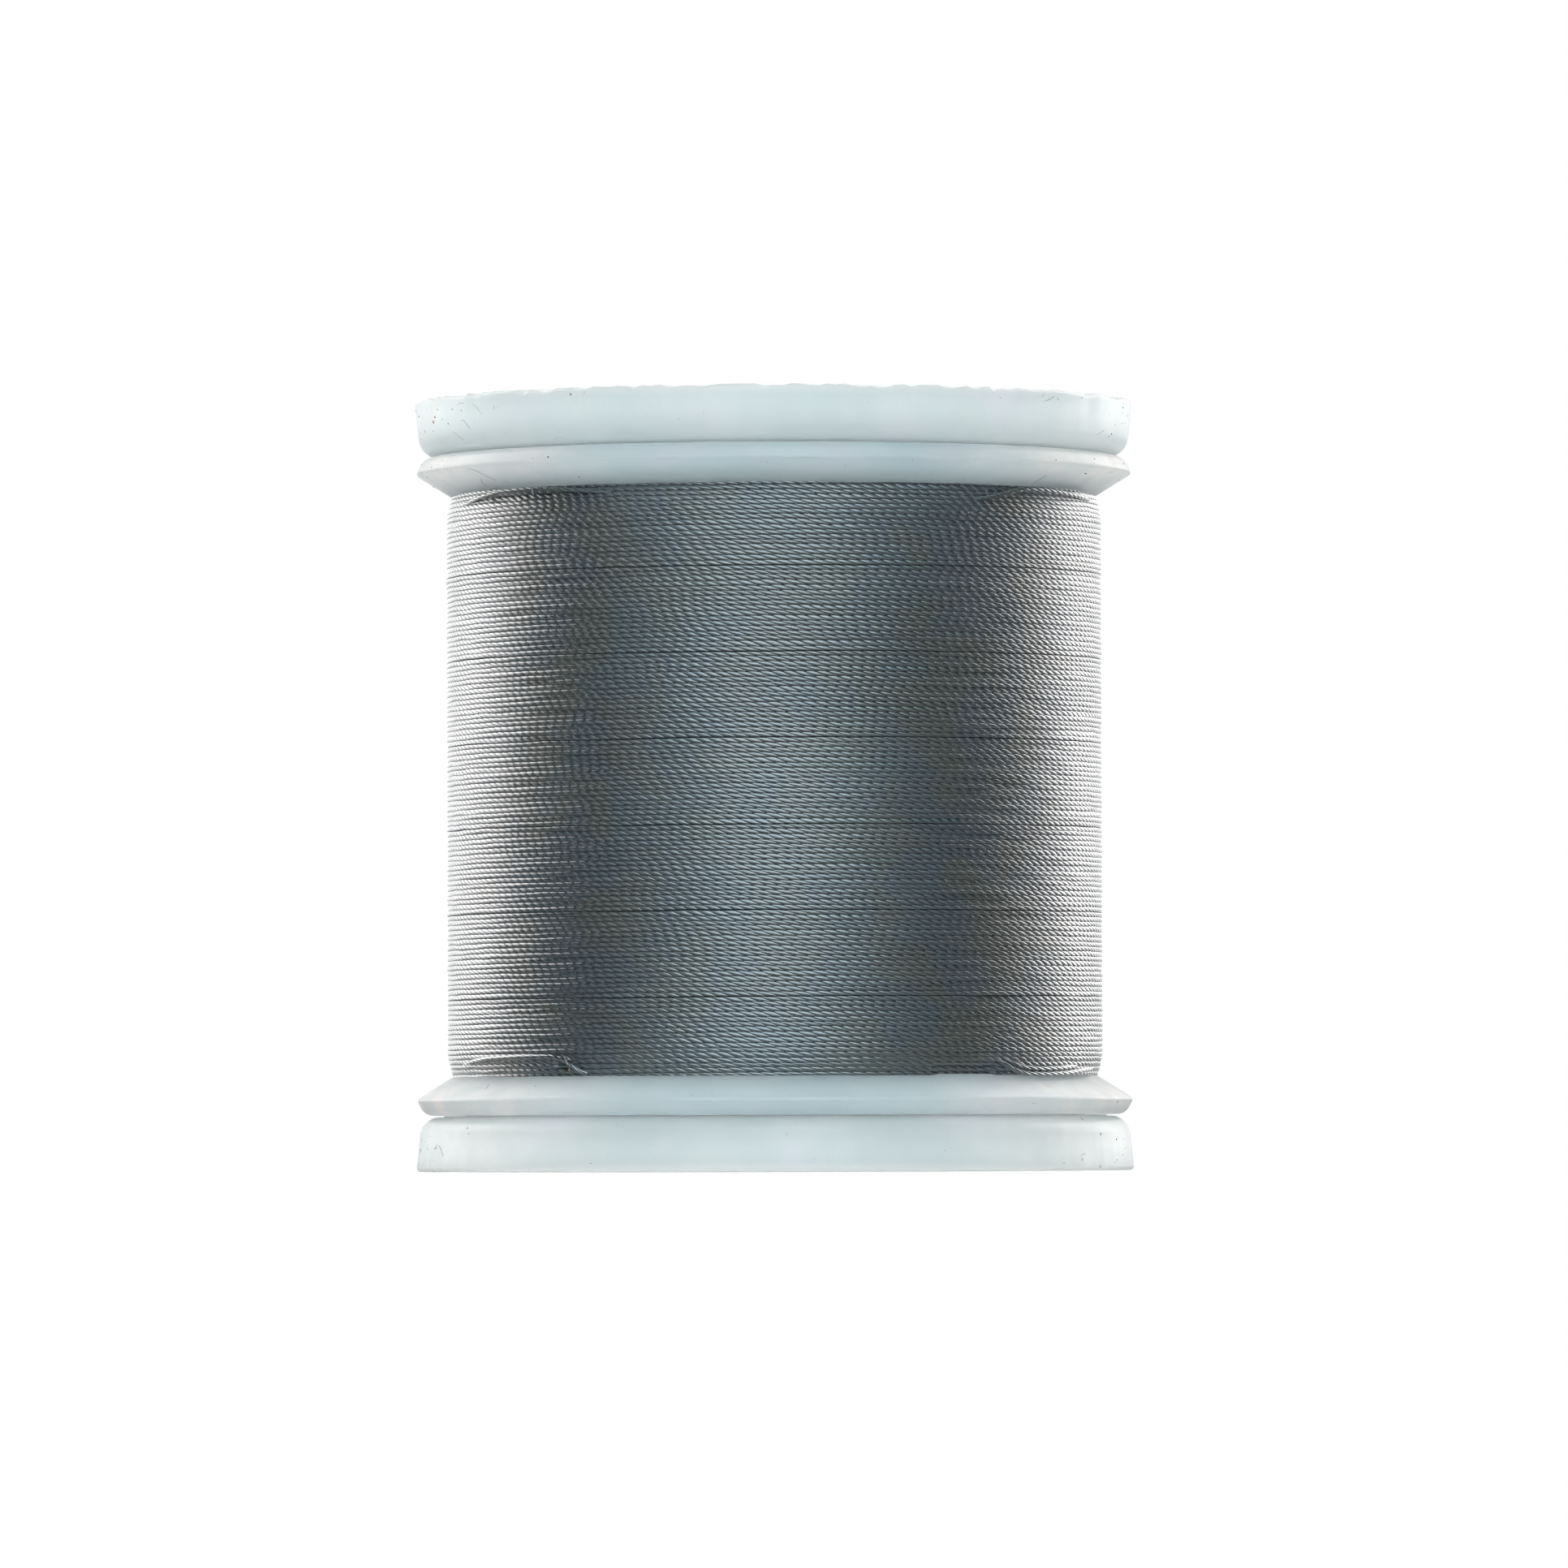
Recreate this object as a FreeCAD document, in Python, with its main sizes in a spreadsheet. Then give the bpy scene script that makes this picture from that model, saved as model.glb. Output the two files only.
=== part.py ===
import FreeCAD, Part
import math
import os

import Sketcher

# Small snap-end spool of twisted filament thread.
# One moulded barrel carries two bevelled flanges. A cap snaps into each end of it and pulls out a
# little way, so that the thread's end can be laid in the seam and nipped there. The thread is
# wound between the flanges.
# Millimetres, +Z up, origin on the axis at the foot of the lower cap.

SIZES = [
    # The whole spool
    ("spool_height", 30.0, "foot of the lower cap to the top of the upper cap"),
    ("seam_gap", 0.06, "each closed cap to its flange"),
    # Caps
    ("rim_radius", 14.0, "cap, outside, at its foot"),
    ("side_taper", 0.22, "how far the cap's side leans in towards the seam"),
    ("cap_depth", 2.12, "cap, foot to seam"),
    ("shoulder_radius", 0.78, "cap, round shoulder at the seam"),
    ("rim_wall", 1.15, "cap, wall round its recess"),
    ("foot_chamfer", 0.1, "cap, outer edge of its foot"),
    ("cap_web", 0.95, "cap, thickness of its round plate"),
    ("hub_wall", 0.9, "cap, collar round its hole"),
    ("hub_setback", 0.35, "cap, collar below the foot"),
    ("hole_margin", 0.3, "cap's hole wider than the pin bore, on the radius"),
    ("hole_lead", 0.25, "cap's hole, chamfer where a pin enters"),
    # Snap fingers on the caps
    ("finger_wall", 0.95, "snap finger, thickness"),
    ("finger_clearance", 0.15, "snap finger to the barrel's inside"),
    ("finger_reach", 5.0, "snap finger, seam to tip"),
    ("finger_slot", 1.9, "slot between two snap fingers"),
    ("barb_height", 0.4, "barb proud of its finger"),
    ("barb_length", 1.0, "barb, catch face to tip"),
    ("barb_land", 0.3, "barb, straight part behind its lead-in"),
    # Flanges and barrel
    ("cap_travel", 2.0, "how far a cap pulls out"),
    ("rim_inset", 0.05, "flange, rim inside the cap's, on the radius"),
    ("rim_edge", 0.15, "flange, narrow edge of its rim"),
    ("rim_chamfer_rise", 0.5, "flange, outer chamfer, along the axis"),
    ("rim_chamfer_width", 0.63, "flange, outer chamfer, on the radius"),
    ("bevel_width", 1.7, "flange, bevel under the thread, on the radius"),
    ("flange_thickness", 1.7, "flange, outer face to inner face"),
    ("land_width", 1.0, "flange, flat that nips the thread, on the radius"),
    ("channel_margin", 0.9, "thread channel outside the barrel, on the radius"),
    ("channel_depth", 0.45, "thread channel, depth"),
    ("barrel_radius", 8.5, "barrel, outside"),
    ("barrel_wall", 1.0, "barrel, wall"),
    ("catch_clearance", 0.15, "catch groove round a barb"),
    ("stop_clearance", 0.05, "barb to the groove's end with the cap pulled out"),
    # Pin tube inside the barrel
    ("bore_radius", 4.0, "bore for a spool pin"),
    ("tube_wall", 0.9, "pin tube, wall"),
    ("tube_setback", 0.3, "pin tube below the flange's outer face"),
    ("web_thickness", 1.0, "web that carries the pin tube at mid height"),
    ("rib_thickness", 1.0, "ribs beside the pin tube"),
    ("rib_setback", 1.2, "ribs below the flange's outer face"),
    # Thread
    ("thread_diameter", 0.19, "three-ply thread"),
    ("winding_inset", 1.17, "wound thread below the flange's rim, on the radius"),
    ("crown_drop", 0.2, "wound thread, smaller where it meets the bevel"),
    ("crown_length", 0.7, "wound thread, length over which it drops"),
    ("crown_radius", 2.0, "wound thread, rounding where the drop starts"),
    ("tail_clearance", 0.03, "thread's end off the plastic that it lies on"),
]

RIB_COUNT = 4

doc = FreeCAD.newDocument("thread_spool")
sheet = doc.addObject("Spreadsheet::Sheet", "sizes")
for row, (name, amount, meaning) in enumerate(SIZES, start=1):
    sheet.set("A%d" % row, name)
    sheet.set("B%d" % row, str(amount))
    sheet.setAlias("B%d" % row, name)
    sheet.set("C%d" % row, meaning)
doc.recompute()


def size(expression):
    """The value in millimetres of an expression of the sheet's sizes."""
    return float(sheet.evalExpression(expression))


# Heights above the spool's middle, where the barrel and the winding are mirrored
CAP_SEAM = "(sizes.spool_height / 2 - sizes.cap_depth)"
FLANGE_FACE = "(%s - sizes.seam_gap)" % CAP_SEAM
FLANGE_INNER = "(%s - sizes.flange_thickness)" % FLANGE_FACE
RIM_TOP = "(%s - sizes.rim_chamfer_rise)" % FLANGE_FACE
RIM_LOW = "(%s - sizes.rim_edge)" % RIM_TOP

# Radii that fit one another
FLANGE_RIM = "(sizes.rim_radius - sizes.rim_inset)"
LAND_OUTER = "(%s - sizes.rim_chamfer_width)" % FLANGE_RIM
CHANNEL_OUTER = "(%s - sizes.land_width)" % LAND_OUTER
CHANNEL_INNER = "(sizes.barrel_radius + sizes.channel_margin)"
BEVEL_FOOT = "(%s - sizes.bevel_width)" % FLANGE_RIM
WINDING_RADIUS = "(%s - sizes.winding_inset)" % FLANGE_RIM
BARREL_INSIDE = "(sizes.barrel_radius - sizes.barrel_wall)"
BARREL_MID_WALL = "(sizes.barrel_radius - sizes.barrel_wall / 2)"
TUBE_OUTSIDE = "(sizes.bore_radius + sizes.tube_wall)"
TUBE_MID_WALL = "(sizes.bore_radius + sizes.tube_wall / 2)"
CAP_HOLE = "(sizes.bore_radius + sizes.hole_margin)"
FINGER_OUTSIDE = "(%s - sizes.finger_clearance)" % BARREL_INSIDE
FINGER_INSIDE = "(%s - sizes.finger_wall)" % FINGER_OUTSIDE
BARB_RADIUS = "(%s + sizes.barb_height)" % FINGER_OUTSIDE
CATCH_RADIUS = "(%s + sizes.catch_clearance)" % BARB_RADIUS

# Depths below the cap's seam face
BARB_CATCH = "(sizes.finger_reach - sizes.barb_length)"
CATCH_START = "(%s - sizes.cap_travel - sizes.stop_clearance)" % BARB_CATCH
CATCH_END = "(sizes.finger_reach + sizes.catch_clearance)"

# Where the thread laps onto the flange's bevel, which falls by the slope towards the axis
BEVEL_SLOPE = "((%s - %s) / sizes.bevel_width)" % (RIM_LOW, FLANGE_INNER)
LAP_RADIUS = "(%s - sizes.crown_drop)" % WINDING_RADIUS
LAP_HEIGHT = "(%s - (%s - %s) * %s)" % (RIM_LOW, FLANGE_RIM, LAP_RADIUS, BEVEL_SLOPE)
CROWN_HEIGHT = "(%s - sizes.crown_length)" % LAP_HEIGHT


def origin_part(body, role):
    return next(part for part in body.Origin.OriginFeatures if part.Role == role)


def new_body(label):
    body = doc.addObject("PartDesign::Body", label)
    body.Label = label
    return body


def bind(sketch, name, constraint, expression):
    """Add a dimension under a name and tie it to an expression."""
    index = sketch.addConstraint(constraint)
    sketch.renameConstraint(index, name)
    sketch.setExpression("Constraints." + name, expression)


def outline(body, name, role, corners):
    """A closed outline whose corners are (across, up) expressions, with a third one to round it."""
    sketch = body.newObject("Sketcher::SketchObject", name)
    sketch.AttachmentSupport = (origin_part(body, role), [""])
    sketch.MapMode = "FlatFace"
    count = len(corners)
    points = [FreeCAD.Vector(size(corner[0]), size(corner[1]), 0) for corner in corners]
    for start, end in zip(points, points[1:] + points[:1]):
        sketch.addGeometry(Part.LineSegment(start, end))
    for edge in range(count):
        sketch.addConstraint(Sketcher.Constraint("Coincident", edge, 2, (edge + 1) % count, 1))
    for edge, (corner, point) in enumerate(zip(corners, points)):
        across = Sketcher.Constraint("DistanceX", -1, 1, edge, 1, point.x)
        up = Sketcher.Constraint("DistanceY", -1, 1, edge, 1, point.y)
        bind(sketch, "across%d" % edge, across, corner[0])
        bind(sketch, "up%d" % edge, up, corner[1])
    for edge, corner in enumerate(corners):
        if len(corner) == 3:
            round_corner(sketch, edge, points, corner[2])
    return sketch


def round_corner(sketch, edge, points, expression):
    """Replace the corner where an edge starts by an arc, whose radius follows an expression."""
    before = points[edge - 1]
    after = points[(edge + 1) % len(points)]
    radius = size(expression)
    sketch.fillet((edge - 1) % len(points), edge, before, after, radius, True, True)
    arc = sketch.GeometryCount - 2
    bind(sketch, "round%d" % edge, Sketcher.Constraint("Radius", arc, radius), expression)


def revolve(body, kind, name, corners):
    """Turn an outline of (radius, height) corners once round the axis, to add or cut material."""
    sketch = outline(body, name + "_outline", "XZ_Plane", corners)
    feature = body.newObject("PartDesign::" + kind, name)
    feature.Profile = sketch
    feature.ReferenceAxis = (sketch, ["V_Axis"])
    feature.Angle = 360
    doc.recompute()
    return feature


def repeat_round_axis(body, name, feature):
    pattern = body.newObject("PartDesign::PolarPattern", name)
    pattern.Originals = [feature]
    pattern.Axis = (origin_part(body, "Z_Axis"), [""])
    pattern.Angle = 360
    pattern.Occurrences = RIB_COUNT
    body.Tip = pattern
    doc.recompute()
    return pattern


def mirror_about_middle(body, name):
    mirror = body.newObject("PartDesign::Mirrored", name)
    mirror.TransformMode = "Whole shape"
    mirror.MirrorPlane = (origin_part(body, "XY_Plane"), [""])
    body.Tip = mirror
    doc.recompute()
    return mirror


def stand_at_middle(body):
    body.setExpression("Placement.Base.z", "sizes.spool_height / 2")


def make_barrel():
    """Barrel, both flanges, pin tube, web and ribs in one moulding, modelled as half and mirrored."""
    body = new_body("barrel")
    revolve(body, "Revolution", "shell", [
        (BARREL_INSIDE, "0"),
        ("sizes.barrel_radius", "0"),
        ("sizes.barrel_radius", FLANGE_INNER),
        (BEVEL_FOOT, FLANGE_INNER),
        (FLANGE_RIM, RIM_LOW),
        (FLANGE_RIM, RIM_TOP),
        (LAND_OUTER, FLANGE_FACE),
        (BARREL_INSIDE, FLANGE_FACE),
    ])
    channel_floor = "(%s - sizes.channel_depth)" % FLANGE_FACE
    revolve(body, "Groove", "thread_channel", [
        (CHANNEL_INNER, channel_floor),
        (CHANNEL_OUTER, channel_floor),
        (CHANNEL_OUTER, FLANGE_FACE),
        (CHANNEL_INNER, FLANGE_FACE),
    ])
    catch_low = "(%s - %s)" % (CAP_SEAM, CATCH_END)
    catch_high = "(%s - %s)" % (CAP_SEAM, CATCH_START)
    revolve(body, "Groove", "catch_groove", [
        (BARREL_INSIDE, catch_low),
        (CATCH_RADIUS, catch_low),
        (CATCH_RADIUS, catch_high),
        (BARREL_INSIDE, catch_high),
    ])
    revolve(body, "Revolution", "middle_web", [
        ("sizes.bore_radius", "0"),
        (BARREL_MID_WALL, "0"),
        (BARREL_MID_WALL, "sizes.web_thickness / 2"),
        ("sizes.bore_radius", "sizes.web_thickness / 2"),
    ])
    tube_top = "(%s - sizes.tube_setback)" % FLANGE_FACE
    revolve(body, "Revolution", "pin_tube", [
        ("sizes.bore_radius", "0"),
        (TUBE_OUTSIDE, "0"),
        (TUBE_OUTSIDE, tube_top),
        ("sizes.bore_radius", tube_top),
    ])
    rib_top = "(%s - sizes.rib_setback)" % FLANGE_FACE
    rib_side = outline(body, "rib_outline", "XZ_Plane", [
        (TUBE_MID_WALL, "0"),
        (BARREL_MID_WALL, "0"),
        (BARREL_MID_WALL, rib_top),
        (TUBE_MID_WALL, rib_top),
    ])
    rib = body.newObject("PartDesign::Pad", "rib")
    rib.Profile = rib_side
    rib.Midplane = True
    rib.setExpression("Length", "sizes.rib_thickness")
    doc.recompute()
    repeat_round_axis(body, "ribs", rib)
    mirror_about_middle(body, "both_halves")
    stand_at_middle(body)
    return body


def make_cap(label):
    """Snap cap: recessed plate with a rim and a collar, and barbed fingers that reach into the barrel.

    Its own height 0 is the seam, and it is modelled with its foot upwards.
    """
    body = new_body(label)
    seam_side = "(sizes.rim_radius - sizes.side_taper)"
    recess_radius = "(sizes.rim_radius - sizes.rim_wall)"
    hub_outside = "(%s + sizes.hub_wall)" % CAP_HOLE
    hub_top = "(sizes.cap_depth - sizes.hub_setback)"
    hole_mouth = "(%s + sizes.hole_lead)" % CAP_HOLE
    revolve(body, "Revolution", "plate", [
        (CAP_HOLE, "0"),
        (seam_side, "0", "sizes.shoulder_radius"),
        ("sizes.rim_radius", "sizes.cap_depth - sizes.foot_chamfer"),
        ("sizes.rim_radius - sizes.foot_chamfer", "sizes.cap_depth"),
        (recess_radius, "sizes.cap_depth"),
        (recess_radius, "sizes.cap_web"),
        (hub_outside, "sizes.cap_web"),
        (hub_outside, hub_top),
        (hole_mouth, hub_top),
        (CAP_HOLE, "%s - sizes.hole_lead" % hub_top),
    ])
    tip = "-sizes.finger_reach"
    revolve(body, "Revolution", "finger_ring", [
        (FINGER_INSIDE, tip),
        (FINGER_OUTSIDE, tip),
        (BARB_RADIUS, "-(%s + sizes.barb_land)" % BARB_CATCH),
        (BARB_RADIUS, "-" + BARB_CATCH),
        (FINGER_OUTSIDE, "-" + BARB_CATCH),
        (FINGER_OUTSIDE, "sizes.cap_web / 2"),
        (FINGER_INSIDE, "sizes.cap_web / 2"),
    ])
    before = body.Shape.Volume
    slot_inner = "(%s - sizes.finger_wall)" % FINGER_INSIDE
    slot_outer = "(%s + sizes.finger_wall)" % BARB_RADIUS
    slot_plan = outline(body, "slot_outline", "XY_Plane", [
        (slot_inner, "-sizes.finger_slot / 2"),
        (slot_outer, "-sizes.finger_slot / 2"),
        (slot_outer, "sizes.finger_slot / 2"),
        (slot_inner, "sizes.finger_slot / 2"),
    ])
    slot = body.newObject("PartDesign::Pocket", "slot")
    slot.Profile = slot_plan
    slot.setExpression("Length", "sizes.finger_reach")
    doc.recompute()
    repeat_round_axis(body, "slots", slot)
    if not body.Shape.Volume < before:
        raise RuntimeError("the finger slots cut nothing from " + label)
    return body


def make_upper_cap():
    body = make_cap("upper_cap")
    body.setExpression("Placement.Base.z", "sizes.spool_height - sizes.cap_depth")
    return body


def make_lower_cap():
    body = make_cap("lower_cap")
    body.Placement = FreeCAD.Placement(FreeCAD.Vector(), FreeCAD.Rotation(FreeCAD.Vector(1, 0, 0), 180))
    body.setExpression("Placement.Base.z", "sizes.cap_depth")
    return body


def make_winding():
    """The wound thread: it fills the space between the flanges and laps onto their bevels."""
    body = new_body("thread_winding")
    revolve(body, "Revolution", "half_winding", [
        ("sizes.barrel_radius", "0"),
        (WINDING_RADIUS, "0"),
        (WINDING_RADIUS, CROWN_HEIGHT, "sizes.crown_radius"),
        (LAP_RADIUS, LAP_HEIGHT),
        (BEVEL_FOOT, FLANGE_INNER),
        ("sizes.barrel_radius", FLANGE_INNER),
    ])
    mirror_about_middle(body, "both_halves")
    stand_at_middle(body)
    return body


def at_angle(degrees, radius, height):
    turn = math.radians(degrees)
    return FreeCAD.Vector(radius * math.cos(turn), radius * math.sin(turn), height)


def rounded_path(points):
    """Straight runs joined by tangent arcs, each as large as its two runs allow."""
    edges = []
    start = points[0]
    for before, corner, after in zip(points, points[1:], points[2:]):
        back = before - corner
        ahead = after - corner
        reach = 0.45 * min(back.Length, ahead.Length)
        back.normalize()
        ahead.normalize()
        entry = corner + back * reach
        leave = corner + ahead * reach
        half_angle = back.getAngle(ahead) / 2
        to_centre = (back + ahead).normalize()
        radius = reach * math.tan(half_angle)
        middle = corner + to_centre * (reach / math.cos(half_angle) - radius)
        edges.append(Part.LineSegment(start, entry).toShape())
        edges.append(Part.Arc(entry, middle, leave).toShape())
        start = leave
    edges.append(Part.LineSegment(start, points[-1]).toShape())
    return Part.Wire(edges)


def make_tail():
    """The thread's outer end: off the last turn, up the bevel, over the rim and along the seam."""
    thread = size("sizes.thread_diameter") / 2
    lift = thread + size("sizes.tail_clearance")
    middle = size("sizes.spool_height / 2")
    lap = size(LAP_RADIUS)
    lap_height = size(LAP_HEIGHT)
    rim = size(FLANGE_RIM)
    rim_low = size(RIM_LOW)
    rim_top = size(RIM_TOP)
    land = size(LAND_OUTER)
    face = size(FLANGE_FACE)
    bevel = math.atan(size(BEVEL_SLOPE))
    chamfer = math.atan2(face - rim_top, rim - land)
    crown = size("sizes.crown_length")
    over_winding = size(WINDING_RADIUS) + lift

    def on_bevel(share):
        radius = lap + (rim - lap) * share + lift * math.sin(bevel)
        height = lap_height + (rim_low - lap_height) * share - lift * math.cos(bevel)
        return radius, height

    def on_chamfer(share):
        radius = rim + (land - rim) * share + lift * math.sin(chamfer)
        height = rim_top + (face - rim_top) * share + lift * math.cos(chamfer)
        return radius, height

    route = [
        (64, over_winding, lap_height - 1.6 * crown),
        (72, over_winding, lap_height - crown),
        (78.5, *on_bevel(0.2)),
        (83, *on_bevel(0.75)),
        (85.5, *on_bevel(1.02)),
        (88, rim + lift, rim_low),
        (91, rim + lift, rim_top),
        (93.5, *on_chamfer(0.05)),
        (97, *on_chamfer(0.45)),
        (104, *on_chamfer(0.7)),
        (112, *on_chamfer(0.76)),
    ]
    points = [at_angle(degrees, radius, middle + height) for degrees, radius, height in route]
    path = rounded_path(points)
    first_run = (points[1] - points[0]).normalize()
    section = Part.Wire([Part.makeCircle(thread, points[0], first_run)])
    tube = path.makePipeShell([section], True, False)
    tail = doc.addObject("Part::Feature", "thread_tail")
    tail.Label = "thread_tail"
    tail.Shape = Part.Solid(tube) if tube.ShapeType == "Shell" else tube
    expected = math.pi * thread ** 2 * path.Length
    if abs(tail.Shape.Volume / expected - 1) > 0.02:
        raise RuntimeError("the thread's end has lost its section along its route")
    return tail


def check(parts):
    for thing in doc.Objects:
        if "Invalid" in thing.State or "Error" in thing.State:
            raise RuntimeError("%s did not build: %s" % (thing.Label, thing.State))
    for part in parts:
        if part.Shape.isNull() or not part.Shape.isValid():
            raise RuntimeError("%s has no valid shape" % part.Label)


def write(parts):
    os.makedirs("parts", exist_ok=True)
    for part in parts:
        part.Shape.exportStep("parts/%s.step" % part.Label)
        print("%-16s %9.2f mm3" % (part.Label, part.Shape.Volume))


pieces = [make_barrel(), make_upper_cap(), make_lower_cap(), make_winding(), make_tail()]
doc.recompute()
check(pieces)
write(pieces)
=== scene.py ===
import math
import random

import bmesh
import bpy
import numpy as np
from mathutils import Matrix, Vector


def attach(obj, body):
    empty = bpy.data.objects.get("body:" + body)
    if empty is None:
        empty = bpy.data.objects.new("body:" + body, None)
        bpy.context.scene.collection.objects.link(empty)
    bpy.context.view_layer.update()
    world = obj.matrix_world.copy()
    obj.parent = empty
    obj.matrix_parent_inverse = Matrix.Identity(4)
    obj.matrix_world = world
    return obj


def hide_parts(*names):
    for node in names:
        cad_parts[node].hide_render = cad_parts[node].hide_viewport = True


# Snap-end spool of three-ply thread. Sizes in the dictionaries are millimetres, as on a drawing,
# and are turned into metres where a piece is built. The axis is Z, and the camera looks along +Y.

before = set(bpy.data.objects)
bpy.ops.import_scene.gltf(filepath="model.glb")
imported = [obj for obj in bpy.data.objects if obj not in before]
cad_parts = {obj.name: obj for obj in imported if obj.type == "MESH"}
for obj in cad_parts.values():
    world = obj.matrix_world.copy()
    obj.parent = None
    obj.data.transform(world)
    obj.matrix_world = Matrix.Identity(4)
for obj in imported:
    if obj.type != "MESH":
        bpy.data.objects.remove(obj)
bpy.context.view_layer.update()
mm = 0.001
scene = bpy.context.scene

spool = {
    "tall": 30.0,
    "middle": 15.0,
    "rim": 14.0,
    "steps": 256,
}


# modelling helpers

def deselect():
    bpy.ops.object.select_all(action="DESELECT")


def pick(piece):
    deselect()
    piece.select_set(True)
    bpy.context.view_layer.objects.active = piece


def startEdit(piece, mode="EDGE"):
    pick(piece)
    bpy.ops.object.mode_set(mode="EDIT")
    bpy.ops.mesh.select_mode(type=mode)
    bpy.ops.mesh.select_all(action="DESELECT")
    return bmesh.from_edit_mesh(piece.data)


def endEdit():
    bpy.ops.object.mode_set(mode="OBJECT")


def placeInMesh(piece):
    pick(piece)
    bpy.ops.object.transform_apply(location=True, rotation=True, scale=True)


def weld(distance):
    bpy.ops.mesh.select_all(action="SELECT")
    bpy.ops.mesh.remove_doubles(threshold=distance * mm)


def selectOpenEdges():
    bpy.ops.mesh.select_mode(type="EDGE")
    bpy.ops.mesh.select_all(action="DESELECT")
    bpy.ops.mesh.select_non_manifold()


def faceOutwards():
    bpy.ops.mesh.select_all(action="SELECT")
    bpy.ops.mesh.normals_make_consistent(inside=False)


def turned(name, section):
    # a circle pulled from corner to corner of a closed (radius, height) section
    deselect()
    radius, height = section[0]
    bpy.ops.mesh.primitive_circle_add(
        vertices=spool["steps"], radius=radius * mm, location=(0, 0, height * mm))
    piece = bpy.context.object
    piece.name = name
    placeInMesh(piece)
    startEdit(piece)
    bpy.ops.mesh.select_all(action="SELECT")
    for nextRadius, nextHeight in section[1:] + section[:1]:
        bpy.ops.mesh.extrude_region_move(
            TRANSFORM_OT_translate={"value": (0, 0, (nextHeight - height) * mm)})
        grow = nextRadius / radius
        bpy.ops.transform.resize(value=(grow, grow, 1), center_override=(0, 0, nextHeight * mm))
        radius, height = nextRadius, nextHeight
    weld(0.002)
    faceOutwards()
    endEdit()
    return piece


def roundRing(piece, radius, height, width, segments, near=0.01):
    # bevels the ring of edges at this radius and height
    shape = startEdit(piece)
    for edge in shape.edges:
        edge.select = all(
            abs(math.hypot(v.co.x, v.co.y) - radius * mm) < near * mm
            and abs(v.co.z - height * mm) < near * mm for v in edge.verts)
    shape.select_flush_mode()
    bmesh.update_edit_mesh(piece.data)
    bpy.ops.mesh.bevel(offset=width * mm, offset_type="OFFSET", segments=segments, affect="EDGES")
    endEdit()


def boxAt(name, low, high):
    deselect()
    middle = [(a + b) / 2 * mm for a, b in zip(low, high)]
    bpy.ops.mesh.primitive_cube_add(size=1, location=middle)
    box = bpy.context.object
    box.name = name
    box.scale = [(b - a) * mm for a, b in zip(low, high)]
    placeInMesh(box)
    return box


def discAt(name, radius, low, high, around, angle):
    deselect()
    turn = math.radians(angle)
    place = (around * math.cos(turn) * mm, around * math.sin(turn) * mm, (low + high) / 2 * mm)
    bpy.ops.mesh.primitive_cylinder_add(
        vertices=40, radius=radius * mm, depth=(high - low) * mm, location=place)
    disc = bpy.context.object
    disc.name = name
    placeInMesh(disc)
    return disc


def combine(piece, tool, how):
    change = piece.modifiers.new(how, "BOOLEAN")
    change.operation = how
    change.solver = "EXACT"
    change.object = tool
    pick(piece)
    bpy.ops.object.modifier_apply(modifier=change.name)
    bpy.data.objects.remove(tool, do_unlink=True)


def smooth(piece, degrees=28):
    pick(piece)
    bpy.ops.object.shade_smooth_by_angle(angle=math.radians(degrees))


def aroundAxis(angle, radius, height):
    turn = math.radians(angle)
    return Vector((radius * math.cos(turn), radius * math.sin(turn), height)) * mm


def tubeAlong(name, points, radius):
    # a thin fibre through the given points, with narrow ends
    deselect()
    bpy.ops.curve.primitive_nurbs_path_add(location=(0, 0, 0))
    fibre = bpy.context.object
    fibre.name = name
    curve = fibre.data
    spline = curve.splines[0]
    if len(points) > len(spline.points):
        spline.points.add(len(points) - len(spline.points))
    for index, place in enumerate(spline.points):
        place.co = (*points[min(index, len(points) - 1)], 1.0)
    spline.order_u = min(3, len(points))
    spline.resolution_u = 6
    spline.points[0].radius = 0.4
    spline.points[-1].radius = 0.4
    curve.bevel_depth = radius * mm
    curve.bevel_resolution = 0
    curve.use_fill_caps = True
    pick(fibre)
    bpy.ops.object.convert(target="MESH")
    return bpy.context.object


def joined(name, pieces):
    deselect()
    for piece in pieces:
        piece.select_set(True)
    bpy.context.view_layer.objects.active = pieces[0]
    bpy.ops.object.join()
    whole = bpy.context.object
    whole.name = name
    placeInMesh(whole)
    return whole


# nodes

def setSockets(node, values):
    for label, value in values.items():
        node.inputs[label].default_value = value


def addNode(tree, kind, **settings):
    node = tree.nodes.new(kind)
    for key, value in settings.items():
        setattr(node, key, value)
    return node


def wire(tree, source, target):
    tree.links.new(source, target)


def feed(tree, sockets, values):
    # each socket takes a wire or a fixed value
    for socket, value in zip(sockets, values):
        if isinstance(value, bpy.types.NodeSocket):
            wire(tree, value, socket)
        else:
            socket.default_value = value


def arrange(tree):
    # nodes stand in columns, counted back from the output, so that the wires run to the right
    column = {}

    def follow(node, count):
        if column.get(node.name, -1) < count:
            column[node.name] = count
            for socket in node.inputs:
                for link in socket.links:
                    follow(link.from_node, count + 1)

    for node in tree.nodes:
        if not any(socket.is_linked for socket in node.outputs):
            follow(node, 0)
    filled = {}
    for node in tree.nodes:
        count = column[node.name]
        node.location = (-220 * count, -260 * filled.get(count, 0))
        filled[count] = filled.get(count, 0) + 1


def mathNode(tree, operation, *values):
    node = addNode(tree, "ShaderNodeMath", operation=operation)
    feed(tree, node.inputs, values)
    return node.outputs[0]


def vectorNode(tree, operation, *values):
    node = addNode(tree, "ShaderNodeVectorMath", operation=operation)
    feed(tree, node.inputs, values)
    return node.outputs["Value" if operation in ("LENGTH", "DISTANCE") else "Vector"]


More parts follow.
